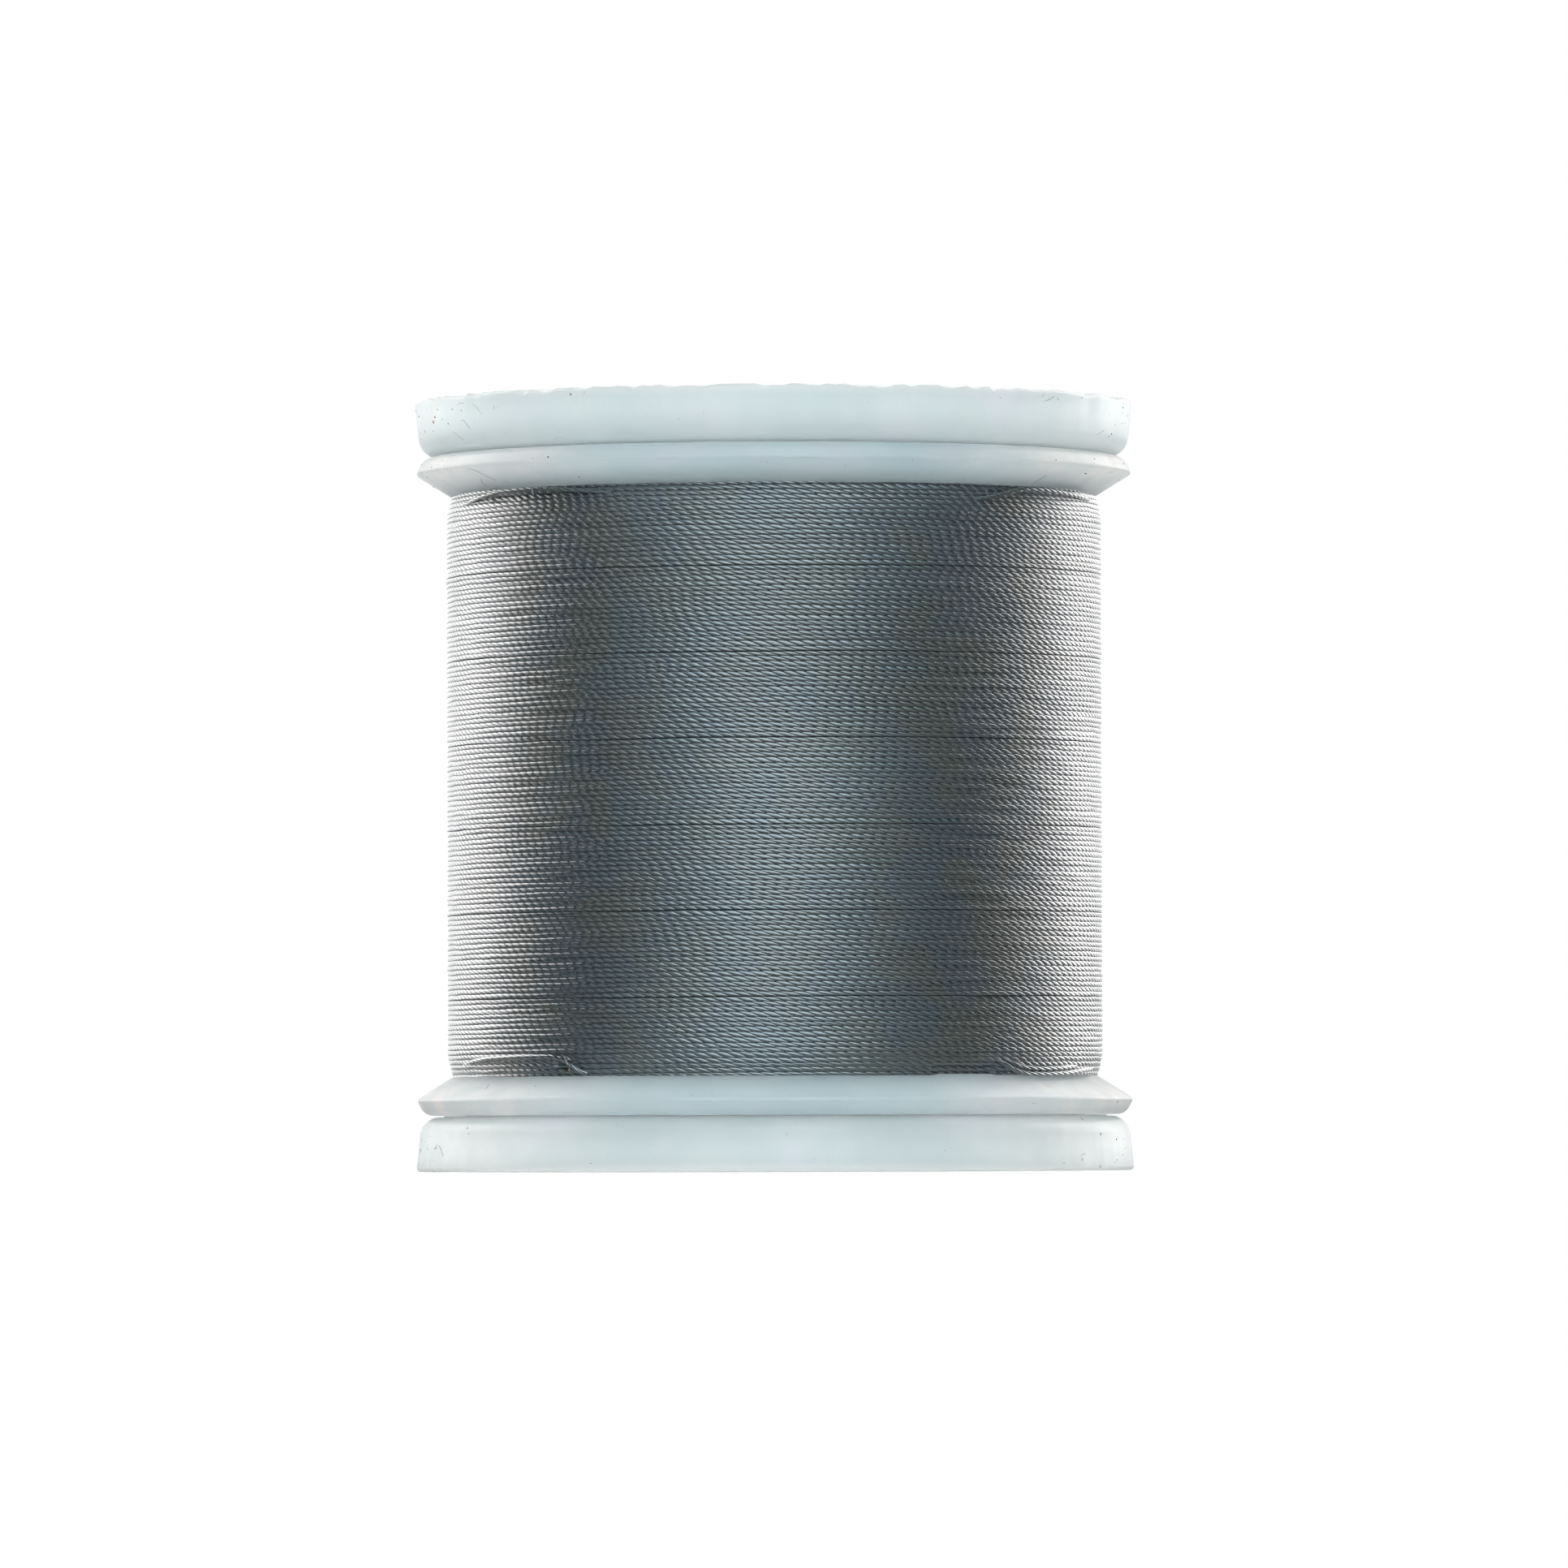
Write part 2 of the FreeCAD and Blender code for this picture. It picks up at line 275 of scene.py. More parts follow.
def axesOf(tree, vector):
    node = addNode(tree, "ShaderNodeSeparateXYZ")
    wire(tree, vector, node.inputs[0])
    return node.outputs


def mapped(tree, vector, values):
    node = addNode(tree, "ShaderNodeMapping")
    wire(tree, vector, node.inputs["Vector"])
    setSockets(node, values)
    return node.outputs["Vector"]


def rampNode(tree, value, low, high, atLow=0.0, atHigh=1.0):
    node = addNode(tree, "ShaderNodeMapRange", interpolation_type="SMOOTHSTEP")
    wire(tree, value, node.inputs["Value"])
    setSockets(node, {"From Min": low, "From Max": high, "To Min": atLow, "To Max": atHigh})
    return node.outputs["Result"]


def fadeNode(tree, value, fade):
    # a fade is (from, to) in millimetres, and the value at each end
    low, high, atLow, atHigh = fade
    return rampNode(tree, value, low * mm, high * mm, atLow, atHigh)


def noiseNode(tree, vector, scale, detail=2.0, roughness=0.5, distortion=0.0, output="Fac"):
    node = addNode(tree, "ShaderNodeTexNoise")
    labels = ("Vector", "Scale", "Detail", "Roughness", "Distortion")
    feed(tree, [node.inputs[label] for label in labels], (vector, scale, detail, roughness, distortion))
    return node.outputs[output]


def cellNodes(tree, vector, scale):
    # the distance from each cell's middle, and random tones that differ from cell to cell
    node = addNode(tree, "ShaderNodeTexVoronoi", feature="F1")
    feed(tree, (node.inputs["Vector"], node.inputs["Scale"]), (vector, scale))
    tones = addNode(tree, "ShaderNodeSeparateColor")
    wire(tree, node.outputs["Color"], tones.inputs["Color"])
    return node.outputs["Distance"], tones.outputs


def mixColour(tree, factor, first, second):
    node = addNode(tree, "ShaderNodeMix", data_type="RGBA")
    feed(tree, (node.inputs["Factor"], node.inputs["A"], node.inputs["B"]), (factor, first, second))
    return node.outputs["Result"]


def bumpNode(tree, height, strength, distance, filterWidth=0.1):
    node = addNode(tree, "ShaderNodeBump")
    wire(tree, height, node.inputs["Height"])
    setSockets(node, {"Strength": strength, "Distance": distance * mm, "Filter Width": filterWidth})
    return node.outputs["Normal"]


# node groups that the materials share

def newGroup(name, inputs, outputs):
    # each group takes a Vector and some plain values, and puts out plain values
    group = bpy.data.node_groups.new(name, "ShaderNodeTree")
    group.interface.new_socket(name="Vector", in_out="INPUT", socket_type="NodeSocketVector")
    for label, value in inputs.items():
        socket = group.interface.new_socket(name=label, in_out="INPUT", socket_type="NodeSocketFloat")
        socket.default_value = value
    for label in outputs:
        group.interface.new_socket(name=label, in_out="OUTPUT", socket_type="NodeSocketFloat")
    given = addNode(group, "NodeGroupInput").outputs
    result = addNode(group, "NodeGroupOutput").inputs
    return group, given, result


def useGroup(tree, group, vector, values):
    node = addNode(tree, "ShaderNodeGroup", node_tree=group)
    wire(tree, vector, node.inputs["Vector"])
    setSockets(node, values)
    return node.outputs


dustPattern = {
    "warpScale": 5200.0,
    "warp": 0.16,  # how far a speck's outline is bent out of round
    "speckSize": (0.1, 0.05),  # how much larger the largest is, and the smallest, as shares of a cell
    "hairLevel": 0.52,  # a hair follows this level of a slow noise
    "hairWidth": 0.0032,
    "hairReach": 0.42,
}


def makeDustGroup():
    # specks and short curved hairs that cling to plastic
    d = dustPattern
    group, given, result = newGroup("clingingDust", {
        "Speck Density": 1400.0, "Speck Share": 0.1, "Hair Scale": 260.0, "Hair Share": 0.1,
    }, ("Specks", "Hairs"))
    vector = given["Vector"]
    warp = noiseNode(group, vector, d["warpScale"], output="Color")
    moved = vectorNode(group, "ADD", vector, vectorNode(group, "MULTIPLY", warp, [d["warp"] * mm] * 3))
    distance, tones = cellNodes(group, moved, given["Speck Density"])
    chosen = mathNode(group, "LESS_THAN", tones["Red"], given["Speck Share"])
    size = mathNode(group, "MULTIPLY_ADD", tones["Green"], *d["speckSize"])
    inside = mathNode(group, "LESS_THAN", distance, size)
    wire(group, mathNode(group, "MULTIPLY", inside, chosen), result["Specks"])

    level = noiseNode(group, vector, given["Hair Scale"], 1.0)
    offLine = mathNode(group, "ABSOLUTE", mathNode(group, "SUBTRACT", level, d["hairLevel"]))
    line = mathNode(group, "LESS_THAN", offLine, d["hairWidth"])
    distance, tones = cellNodes(group, vector, given["Hair Scale"])
    some = mathNode(group, "LESS_THAN", tones["Blue"], given["Hair Share"])
    short = mathNode(group, "LESS_THAN", distance, d["hairReach"])
    hairs = mathNode(group, "MULTIPLY", line, mathNode(group, "MULTIPLY", some, short))
    wire(group, hairs, result["Hairs"])
    arrange(group)
    return group


def makeMouldedGroup():
    # cloudy tone and faint unevenness of a moulded plastic face
    group, given, result = newGroup("mouldedFace", {
        "Cloud Scale": 160.0, "Grain Scale": 5200.0, "Swirl Scale": 420.0,
    }, ("Cloud", "Grain", "Swirl"))
    vector = given["Vector"]
    cloud = noiseNode(group, vector, given["Cloud Scale"], 3.0)
    wire(group, rampNode(group, cloud, 0.3, 0.7), result["Cloud"])
    wire(group, noiseNode(group, vector, given["Grain Scale"], 4.0), result["Grain"])
    flow = mapped(group, vector, {"Scale": (1.0, 1.0, 6.0)})
    wire(group, noiseNode(group, flow, given["Swirl Scale"], distortion=0.6), result["Swirl"])
    arrange(group)
    return group


thread = {
    "plies": 3,
    "lay": 1.38,
    "slant": 0.85,
    "plyReach": 0.95,  # share of its half circle that a ply shows before it meets the next
}


def makePlyGroup():
    # relief of the twisted plies, and a mask for the painted shade in the gaps between them: X counts lays
    # along the thread, Y counts rows across it
    group, given, result = newGroup("twistedPlies", {
        "Slant": thread["slant"], "Squareness": 5.0, "Row Share": 0.45, "Groove": 1.0,
    }, ("Height", "Gap Shade"))
    reach = thread["plyReach"]
    axes = axesOf(group, given["Vector"])
    across = mathNode(group, "MULTIPLY_ADD", mathNode(group, "FRACT", axes["Y"]), 2.0, -1.0)
    leaning = mathNode(group, "ARCSINE", mathNode(group, "MULTIPLY", across, given["Slant"]))
    plies = mathNode(group, "MULTIPLY", axes["X"], thread["plies"])
    strips = mathNode(group, "MULTIPLY_ADD", leaning, thread["plies"] / 2 / math.pi, plies)
    within = mathNode(group, "MULTIPLY_ADD", mathNode(group, "FRACT", strips), 2 * reach, -reach)
    chord = mathNode(group, "SUBTRACT", 1.0, mathNode(group, "MULTIPLY", within, within))
    plyRound = mathNode(group, "POWER", mathNode(group, "SQRT", chord), 0.8)
    plyDip = mathNode(group, "MULTIPLY", mathNode(group, "SUBTRACT", 1.0, plyRound), given["Groove"])
    rowEdge = mathNode(group, "POWER", mathNode(group, "ABSOLUTE", across), given["Squareness"])
    rowDip = mathNode(group, "MULTIPLY", rowEdge, given["Row Share"])
    dip = mathNode(group, "ADD", rowDip, plyDip)
    wire(group, mathNode(group, "SUBTRACT", 1.0, dip), result["Height"])
    # painted shade: the gaps between rows count for more than the grooves between plies
    seam = mathNode(group, "MULTIPLY_ADD", plyDip, 0.5, mathNode(group, "MULTIPLY", rowDip, 1.6))
    wire(group, rampNode(group, seam, 0.35, 0.85), result["Gap Shade"])
    arrange(group)
    return group


dustGroup = makeDustGroup()
mouldedGroup = makeMouldedGroup()
plyGroup = makePlyGroup()


# materials

def newMaterial(name, values):
    # what is the same all over stands on the shader's own sockets
    material = bpy.data.materials.new(name)
    material.use_nodes = True
    tree = material.node_tree
    skin = tree.nodes["Principled BSDF"]
    setSockets(skin, values)
    return material, tree, skin


plasticLook = {
    # the caps are one moulding: the lower cap's darker tones are painted shade, and each cap's share of the
    # lighter ends is painted light
    "upperTones": ((0.508, 0.592, 0.602, 1), (0.586, 0.65, 0.66, 1)),
    "lowerCapShadedTones": ((0.42, 0.49, 0.498, 1), (0.486, 0.539, 0.547, 1)),
    "barrelTones": ((0.46, 0.58, 0.615, 1), (0.54, 0.64, 0.67, 1)),
    "warmLitTone": (0.84, 0.81, 0.78, 1),
    "lilac": (0.58, 0.58, 0.66, 1),
    "stain": (0.62, 0.57, 0.51, 1),
    # painted shade: the colour at the bevel's foot next to the winding
    "footShadeTone": (0.42, 0.50, 0.52, 1),
    "dirt": (0.10, 0.10, 0.10, 1),
    "roughness": 0.30,
    "swirl": 0.22,
    "specular": 0.45,
    "bleed": 1.0,
    "bleedDepth": 5.5,
    "grainDepth": 0.006,
    # noise scales and the levels between which each noise rises
    "driftScale": 330.0,
    "drift": (0.48, 0.75, 0.0, 0.35),
    "blotchScale": 700.0,
    "blotch": (0.35, 0.75, 0.6, 1.0),
    "mottleScale": 2300.0,
    "mottle": (0.4, 0.62),
    # fades sideways from the axis
    "handled": (9.5, 13.6, 0.0, 1.0),
    # painted light: the left and right ends are lighter, as where light from the sides falls
    "warmAndLit": (4.5, 13.2, 0.0, 1.0),
    # fades up and down from the spool's middle
    "edging": (14.55, 14.95, 0.0, 0.32),
    "foot": (11.3, 12.0, 0.7, 0.0),
    # fade with height: the painted foot shade is weaker at the lower flange
    "footLess": (10.0, 20.0, 0.4, 1.0),
    "specks": 0.16,
    "hairs": 0.03,
    "dustShare": (0.75, 0.12),  # what handling adds, and what is everywhere
    "dustDark": 0.75,
}
# stains are (angle, radius, height, size, strength)
capStains = ((-161, 13.9, 29.3, 1.1, 0.5), (-166, 13.9, 28.9, 0.7, 0.5), (-10, 13.9, 29.2, 0.8, 0.3))
barrelStains = ((-37.5, 13.2, 3.3, 0.35, 0.5), (-150, 13.0, 26.6, 0.5, 0.3), (-20, 13.6, 27.3, 0.6, 0.3))


def stainMask(tree, place, spot, stains):
    spill = None
    for angle, radius, height, size, strength in stains:
        away = vectorNode(tree, "DISTANCE", place, aroundAxis(angle, radius, height))
        near = fadeNode(tree, away, (size * 0.2, size, strength, 0.0))
        spill = near if spill is None else mathNode(tree, "MAXIMUM", spill, near)
    mottle = noiseNode(tree, spot, plasticLook["mottleScale"], 3.0)
    return mathNode(tree, "MULTIPLY", spill, rampNode(tree, mottle, *plasticLook["mottle"]))


def makePlastic(name, tones, litEndShare, dustShift, stains):
    look = plasticLook
    material, tree, skin = newMaterial(name, {
        "Specular IOR Level": look["specular"],
        "Subsurface Weight": look["bleed"],
        "Subsurface Radius": (1.0, 1.0, 1.0),
        "Subsurface Scale": look["bleedDepth"] * mm,
    })
    skin.subsurface_method = "BURLEY"
    place = addNode(tree, "ShaderNodeTexCoord").outputs["Object"]
    spot = mapped(tree, place, {"Location": dustShift})
    face = useGroup(tree, mouldedGroup, spot, {})
    tint = mixColour(tree, face["Cloud"], *tones)
    drift = rampNode(tree, noiseNode(tree, spot, look["driftScale"]), *look["drift"])
    tint = mixColour(tree, drift, tint, look["lilac"])

    # a warm tone with painted light towards the left and right ends, and a warm tone along the outer edges
    axes = axesOf(tree, place)
    sideways = mathNode(tree, "ABSOLUTE", axes["X"])
    fromMiddle = mathNode(tree, "ABSOLUTE", mathNode(tree, "SUBTRACT", axes["Z"], spool["middle"] * mm))
    blotch = rampNode(tree, noiseNode(tree, spot, look["blotchScale"], 3.0), *look["blotch"])
    warmAndLit = mathNode(tree, "MULTIPLY", fadeNode(tree, sideways, look["warmAndLit"]), blotch)
    warmAndLit = mathNode(tree, "MULTIPLY", warmAndLit, litEndShare)
    warmAndLit = mathNode(tree, "MAXIMUM", warmAndLit, fadeNode(tree, fromMiddle, look["edging"]))
    tint = mixColour(tree, warmAndLit, tint, look["warmLitTone"])
    tint = mixColour(tree, stainMask(tree, place, spot, stains), tint, look["stain"])

    # painted shade: the colour darkens at the foot of the flange's bevel, next to the winding, where shade
    # falls
    foot = fadeNode(tree, fromMiddle, look["foot"])
    foot = mathNode(tree, "MULTIPLY", foot, fadeNode(tree, axes["Z"], look["footLess"]))
    tint = mixColour(tree, foot, tint, look["footShadeTone"])

    # dust, most of it where the spool is handled
    dust = useGroup(tree, dustGroup, spot, {"Speck Share": look["specks"], "Hair Share": look["hairs"]})
    share = mathNode(tree, "MULTIPLY_ADD", fadeNode(tree, sideways, look["handled"]), *look["dustShare"])
    dirty = mathNode(tree, "MULTIPLY", mathNode(tree, "MAXIMUM", dust["Specks"], dust["Hairs"]), share)
    tint = mixColour(tree, mathNode(tree, "MULTIPLY", dirty, look["dustDark"]), tint, look["dirt"])
    wire(tree, tint, skin.inputs["Base Color"])

    rough = mathNode(tree, "MULTIPLY_ADD", face["Swirl"], look["swirl"], look["roughness"])
    rough = mathNode(tree, "MULTIPLY_ADD", dirty, 0.3, rough)
    wire(tree, rough, skin.inputs["Roughness"])
    height = mathNode(tree, "MULTIPLY_ADD", face["Cloud"], 3.0, face["Grain"])
    height = mathNode(tree, "MULTIPLY_ADD", dirty, 2.5, height)
    wire(tree, bumpNode(tree, height, 0.25, look["grainDepth"]), skin.inputs["Normal"])
    arrange(tree)
    return material


threadLook = {
    "blue": ((0.012, 0.021, 0.029, 1), (0.027, 0.043, 0.055, 1)),
    "green": ((0.018, 0.022, 0.018, 1), (0.040, 0.045, 0.037, 1)),
    # painted shade: the colour in the gaps between rows and plies
    "deep": (0.003, 0.004, 0.005, 1),
    "dyeScale": 420.0,
    "dye": (0.42, 0.58),
    "fibreScale": (5.0, 16.0, 1.0),
    "batchScale": (0.35, 0.9, 1.0),
    "tone": (0.35, 0.8),
    "roughness": 0.18,
    "specular": 0.4,
    "index": 1.8,
    "coatIndex": 2.3,
    "glint": (0.70, 0.93, 1.0, 1),
    "coat": 1.0,
    "coatRoughness": 0.15,
    "reliefDepth": 0.040,
    "fibreShare": 0.10,
}


def makeThread(name):
    look = threadLook
    material, tree, skin = newMaterial(name, {
        "Specular IOR Level": look["specular"],
        "IOR": look["index"],
        "Coat Roughness": look["coatRoughness"],
        "Coat IOR": look["coatIndex"],
        "Specular Tint": look["glint"],
    })
    along = addNode(tree, "ShaderNodeUVMap", uv_map="UVMap").outputs["UV"]
    place = addNode(tree, "ShaderNodeTexCoord").outputs["Object"]
    fibres = noiseNode(tree, mapped(tree, along, {"Scale": look["fibreScale"]}), 1.0, 3.0, 0.6)
    batches = noiseNode(tree, mapped(tree, along, {"Scale": look["batchScale"]}), 1.0)
    tone = mathNode(tree, "MULTIPLY_ADD", fibres, 0.6, mathNode(tree, "MULTIPLY", batches, 0.5))
    tone = rampNode(tree, tone, *look["tone"])
    dye = rampNode(tree, noiseNode(tree, place, look["dyeScale"]), *look["dye"])
    blue = mixColour(tree, tone, *look["blue"])
    green = mixColour(tree, tone, *look["green"])
    colour = mixColour(tree, dye, blue, green)
    plies = useGroup(tree, plyGroup, along, {})
    # painted shade: the gaps are darkened in the colour and lose their coat's reflection, and they are
    # rougher
    wire(tree, mixColour(tree, plies["Gap Shade"], colour, look["deep"]), skin.inputs["Base Color"])
    rough = mathNode(tree, "MULTIPLY_ADD", batches, 0.2, look["roughness"])
    rough = mathNode(tree, "MULTIPLY_ADD", plies["Gap Shade"], 0.5, rough)
    wire(tree, rough, skin.inputs["Roughness"])
    wire(tree, mathNode(tree, "SUBTRACT", look["coat"], plies["Gap Shade"]), skin.inputs["Coat Weight"])
    height = mathNode(tree, "MULTIPLY_ADD", fibres, look["fibreShare"], plies["Height"])
    normal = bumpNode(tree, height, 1.0, look["reliefDepth"], 0.02)
    wire(tree, normal, skin.inputs["Normal"])
    wire(tree, normal, skin.inputs["Coat Normal"])
    arrange(tree)
    return material


# loose bits are (dark tone, light tone, scale of the patches, levels between the tones, roughness)
looseLooks = {
    "lint": ((0.26, 0.27, 0.27, 1), (0.48, 0.49, 0.49, 1), 2600.0, (0.35, 0.65), 0.5),
    "dust": ((0.03, 0.03, 0.035, 1), (0.20, 0.19, 0.18, 1), 900.0, (0.3, 0.7), 0.6),
    "hair": ((0.16, 0.17, 0.18, 1), (0.40, 0.41, 0.42, 1), 900.0, (0.3, 0.7), 0.6),
}


def makeLoose(name):
    dark, light, scale, levels, roughness = looseLooks[name]
    material, tree, skin = newMaterial(name, {})
    place = addNode(tree, "ShaderNodeTexCoord").outputs["Object"]
    tone = rampNode(tree, noiseNode(tree, place, scale), *levels)
    wire(tree, mixColour(tree, tone, dark, light), skin.inputs["Base Color"])
    wire(tree, mathNode(tree, "MULTIPLY_ADD", tone, 0.2, roughness), skin.inputs["Roughness"])
    arrange(tree)
    return material


barrelPlastic = makePlastic(
    "barrelPlastic", plasticLook["barrelTones"], 0.9, (0.011, 0.004, 0.002), barrelStains)
# the two caps differ in tones and in their share of the lighter ends only as painted light and shade
upperCapPlastic = makePlastic(
    "upperCapPlastic", plasticLook["upperTones"], 0.16, (0.0, 0.0, 0.0), capStains)
lowerCapPlastic = makePlastic(
    "lowerCapPlastic", plasticLook["lowerCapShadedTones"], 0.3, (0.031, 0.017, 0.023), capStains)
threadFinish = makeThread("spunThread")
lintFinish = makeLoose("lint")
dustFinish = makeLoose("dust")
hairFinish = makeLoose("hair")
print("materials made")


def dress(piece, material, node, body):
    piece.data.materials.clear()
    piece.data.materials.append(material)
    if node:
        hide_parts(node)
    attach(piece, body)


# barrel with its flanges: heights are taken from the spool's middle, and both ends are alike

barrel = {
    "flangeFace": 12.82,
    "flangeInner": 11.12,
    "shoulder": (13.665, 12.82, 0.309),
    "tip": (13.981, 12.189, 0.12),
    "bevelFoot": 12.25,
    "channel": (9.4, 12.32, 0.45),
    "outside": 8.5,
    "inside": 7.5,
    "catch": (7.9, 7.73, 10.93),
    "tube": (4.0, 4.9, 12.52),
    "web": 0.5,
    "rib": (4.45, 8.0, 1.0, 11.62),
}


def barrelSection():
    b = barrel
    face, inside = b["flangeFace"], b["inside"]
    channelIn, channelOut, channelDeep = b["channel"]
    catchRadius, catchLow, catchHigh = b["catch"]
    bore, tubeOut, tubeTop = b["tube"]
    upper = [
        (bore, tubeTop), (tubeOut, tubeTop), (tubeOut, b["web"]), (inside, b["web"]),
        (inside, catchLow), (catchRadius, catchLow), (catchRadius, catchHigh), (inside, catchHigh),
        (inside, face), (channelIn, face), (channelIn, face - channelDeep),
        (channelOut, face - channelDeep), (channelOut, face), b["shoulder"][:2], b["tip"][:2],
        (b["bevelFoot"], b["flangeInner"]), (b["outside"], b["flangeInner"]),
    ]
    lower = [(radius, -height) for radius, height in reversed(upper)]
    return [(radius, height + spool["middle"]) for radius, height in upper + lower]


def makeBarrel():
    b = barrel
    face = b["flangeFace"]
    channelIn, channelOut, channelDeep = b["channel"]
    bore, tubeOut, tubeTop = b["tube"]
    piece = turned("spoolBarrel", barrelSection())
    rings = (
        (*b["shoulder"], 7), (*b["tip"], 5), (channelOut, face, 0.06, 2), (channelIn, face, 0.06, 2),
        (channelOut, face - channelDeep, 0.08, 2), (channelIn, face - channelDeep, 0.08, 2),
        (b["inside"], face, 0.12, 3), (bore, tubeTop, 0.15, 3), (tubeOut, tubeTop, 0.1, 3),
    )
    for side in (1, -1):
        for radius, height, width, segments in rings:
            roundRing(piece, radius, spool["middle"] + side * height, width, segments)
    ribIn, ribOut, ribThick, ribTop = b["rib"]
    low, high = spool["middle"] - ribTop, spool["middle"] + ribTop
    half = ribThick / 2
    spans = ((ribIn, ribOut), (-ribOut, -ribIn))
    for near, far in spans:
        combine(piece, boxAt("rib", (near, -half, low), (far, half, high)), "UNION")
    for near, far in spans:
        combine(piece, boxAt("rib", (-half, near, low), (half, far, high)), "UNION")
    smooth(piece)
    dress(piece, barrelPlastic, "barrel", "spool")
    return piece


spoolBarrel = makeBarrel()
print("barrel made")


# snap caps: heights are taken from the seam, upwards

cap = {
    "seam": 27.88,
    "depth": 2.12,
    "seamRim": 13.78,
    "shoulder": 0.6708,
    "footEdge": 0.1,
    "recess": (12.85, 0.95),
    "hub": (5.2, 1.77),
    "hole": (4.3, 0.25),
    "lip": (11.3, 12.1, 0.2, 0.1),
    "land": (12.4, 12.95, 0.045, 0.06),
    "finger": (6.4, 7.35, 5.0),
    "barb": (7.75, 4.0, 4.3),
    "slot": 1.9,
    "ejector": (0.95, 9.1, 0.06, (45, 135, 225)),
    "gate": (0.5, 9.1, 0.16, 315),
}


def ridge(low, high, tall, slope):
    # a low ridge on the seam's face, with sloping sides
    return [(low, 0), (low + slope, -tall), (high - slope, -tall), (high, 0)]


def makeCap():
    c = cap
    seam, rim, depth, edge = c["seam"], spool["rim"], c["depth"], c["footEdge"]
    recess, web = c["recess"]
    hub, hubTop = c["hub"]
    hole, lead = c["hole"]
    section = [(hole, 0), *ridge(*c["lip"]), *ridge(*c["land"]), (c["seamRim"], 0)]
    section += [
        (rim, depth - edge), (rim - edge, depth), (recess, depth), (recess, web), (hub, web),
        (hub, hubTop), (hole + lead, hubTop), (hole, hubTop - lead),
    ]
    plate = turned("upperSnapCap", [(radius, seam + height) for radius, height in section])
    for radius, height, width, segments in (
            (c["seamRim"], 0, c["shoulder"], 8), (rim, depth - edge, 0.05, 2), (rim - edge, depth, 0.05, 2),
            (recess, depth, 0.09, 3), (recess, web, 0.3, 4), (hub, web, 0.2, 3), (hub, hubTop, 0.12, 3),
            (hole + lead, hubTop, 0.06, 2)):
        roundRing(plate, radius, seam + height, width, segments)
    combine(plate, makeFingers(), "UNION")
    mark, around, deep, turns = c["ejector"]
    for turn in turns:
        disc = discAt("ejector", mark, seam + web - deep, seam + web + 1, around, turn)
        combine(plate, disc, "DIFFERENCE")
    gate, around, tall, turn = c["gate"]
    combine(plate, discAt("gate", gate, seam + web / 2, seam + web + tall, around, turn), "UNION")
    return plate


def makeFingers():
    # a barbed ring, slotted into four
    c = cap
    seam = c["seam"]
    inner, outer, reach = c["finger"]
    barb, catchAt, landAt = c["barb"]
    top = seam + c["recess"][1] / 2
    ring = turned("fingers", [
        (inner, seam - reach), (outer, seam - reach), (barb, seam - landAt), (barb, seam - catchAt),
        (outer, seam - catchAt), (outer, top), (inner, top),
    ])
    roundRing(ring, outer, seam - reach, 0.12, 3)
    roundRing(ring, inner, seam - reach, 0.12, 3)
    roundRing(ring, barb, seam - landAt, 0.06, 2)
    half = c["slot"] / 2
    far = barb + 1
    for wide, deep in ((far, half), (half, far)):
        slot = boxAt("slot", (-wide, -deep, seam - reach - 1), (wide, deep, seam + 0.2))
        combine(ring, slot, "DIFFERENCE")
    return ring


# the moulding's outer foot edge is a little ragged, and is only ever smaller than the clean edge
raggedEdge = {
    "outside": 13.7,
    "within": 0.2,
    "waves": (14, 1.36, 9),  # the slowest, how each next one is faster, and how many
    "waveDepth": 0.025,
    "chipDepth": 0.05,
    "least": 0.015,
    "most": 0.13,
    "inward": 0.7,
    "footRise": 0.3,
    "upperSeed": 4,
    "lowerSeed": 9,
}


def roughenFoot(piece, height, seed):
    r = raggedEdge
    dice = random.Random(seed)
    slowest, faster, count = r["waves"]
    waves = [(int(slowest * faster ** step), dice.uniform(0, 6.28)) for step in range(count)]
    chips = [dice.random() ** 3 for step in range(spool["steps"] + 1)]
    for vertex in piece.data.vertices:
        radius = math.hypot(vertex.co.x, vertex.co.y)
        if radius > r["outside"] * mm and abs(vertex.co.z - height * mm) < r["within"] * mm:
            angle = math.atan2(vertex.co.y, vertex.co.x)
            chip = chips[round((angle / math.pi + 1) / 2 * spool["steps"])]
            wave = sum(math.sin(rate * angle + phase) for rate, phase in waves)
            nick = wave * r["waveDepth"] + chip * r["chipDepth"] + r["least"]
            nick = min(r["most"], max(0.0, nick)) * mm
            # the foot stands on the table, so its nicks go inwards rather than up
            vertex.co.z += r["footRise"] * nick if height < spool["middle"] else -nick
            shrink = 1 - nick * r["inward"] / radius
            vertex.co.x *= shrink
            vertex.co.y *= shrink


def makeCaps():
    upper = makeCap()
    pick(upper)
    bpy.ops.object.duplicate()
    lower = bpy.context.object
    lower.name = "lowerSnapCap"
    bpy.ops.transform.rotate(
        value=math.pi, orient_axis="X", center_override=(0, 0, spool["middle"] * mm))
    placeInMesh(lower)
    roughenFoot(upper, spool["tall"], raggedEdge["upperSeed"])
    roughenFoot(lower, 0.0, raggedEdge["lowerSeed"])
    for piece in (upper, lower):
        smooth(piece)
    dress(upper, upperCapPlastic, "upper_cap", "upper_cap")
    dress(lower, lowerCapPlastic, "lower_cap", "lower_cap")
    return upper, lower


upperSnapCap, lowerSnapCap = makeCaps()
print("snap caps made")


# wound thread

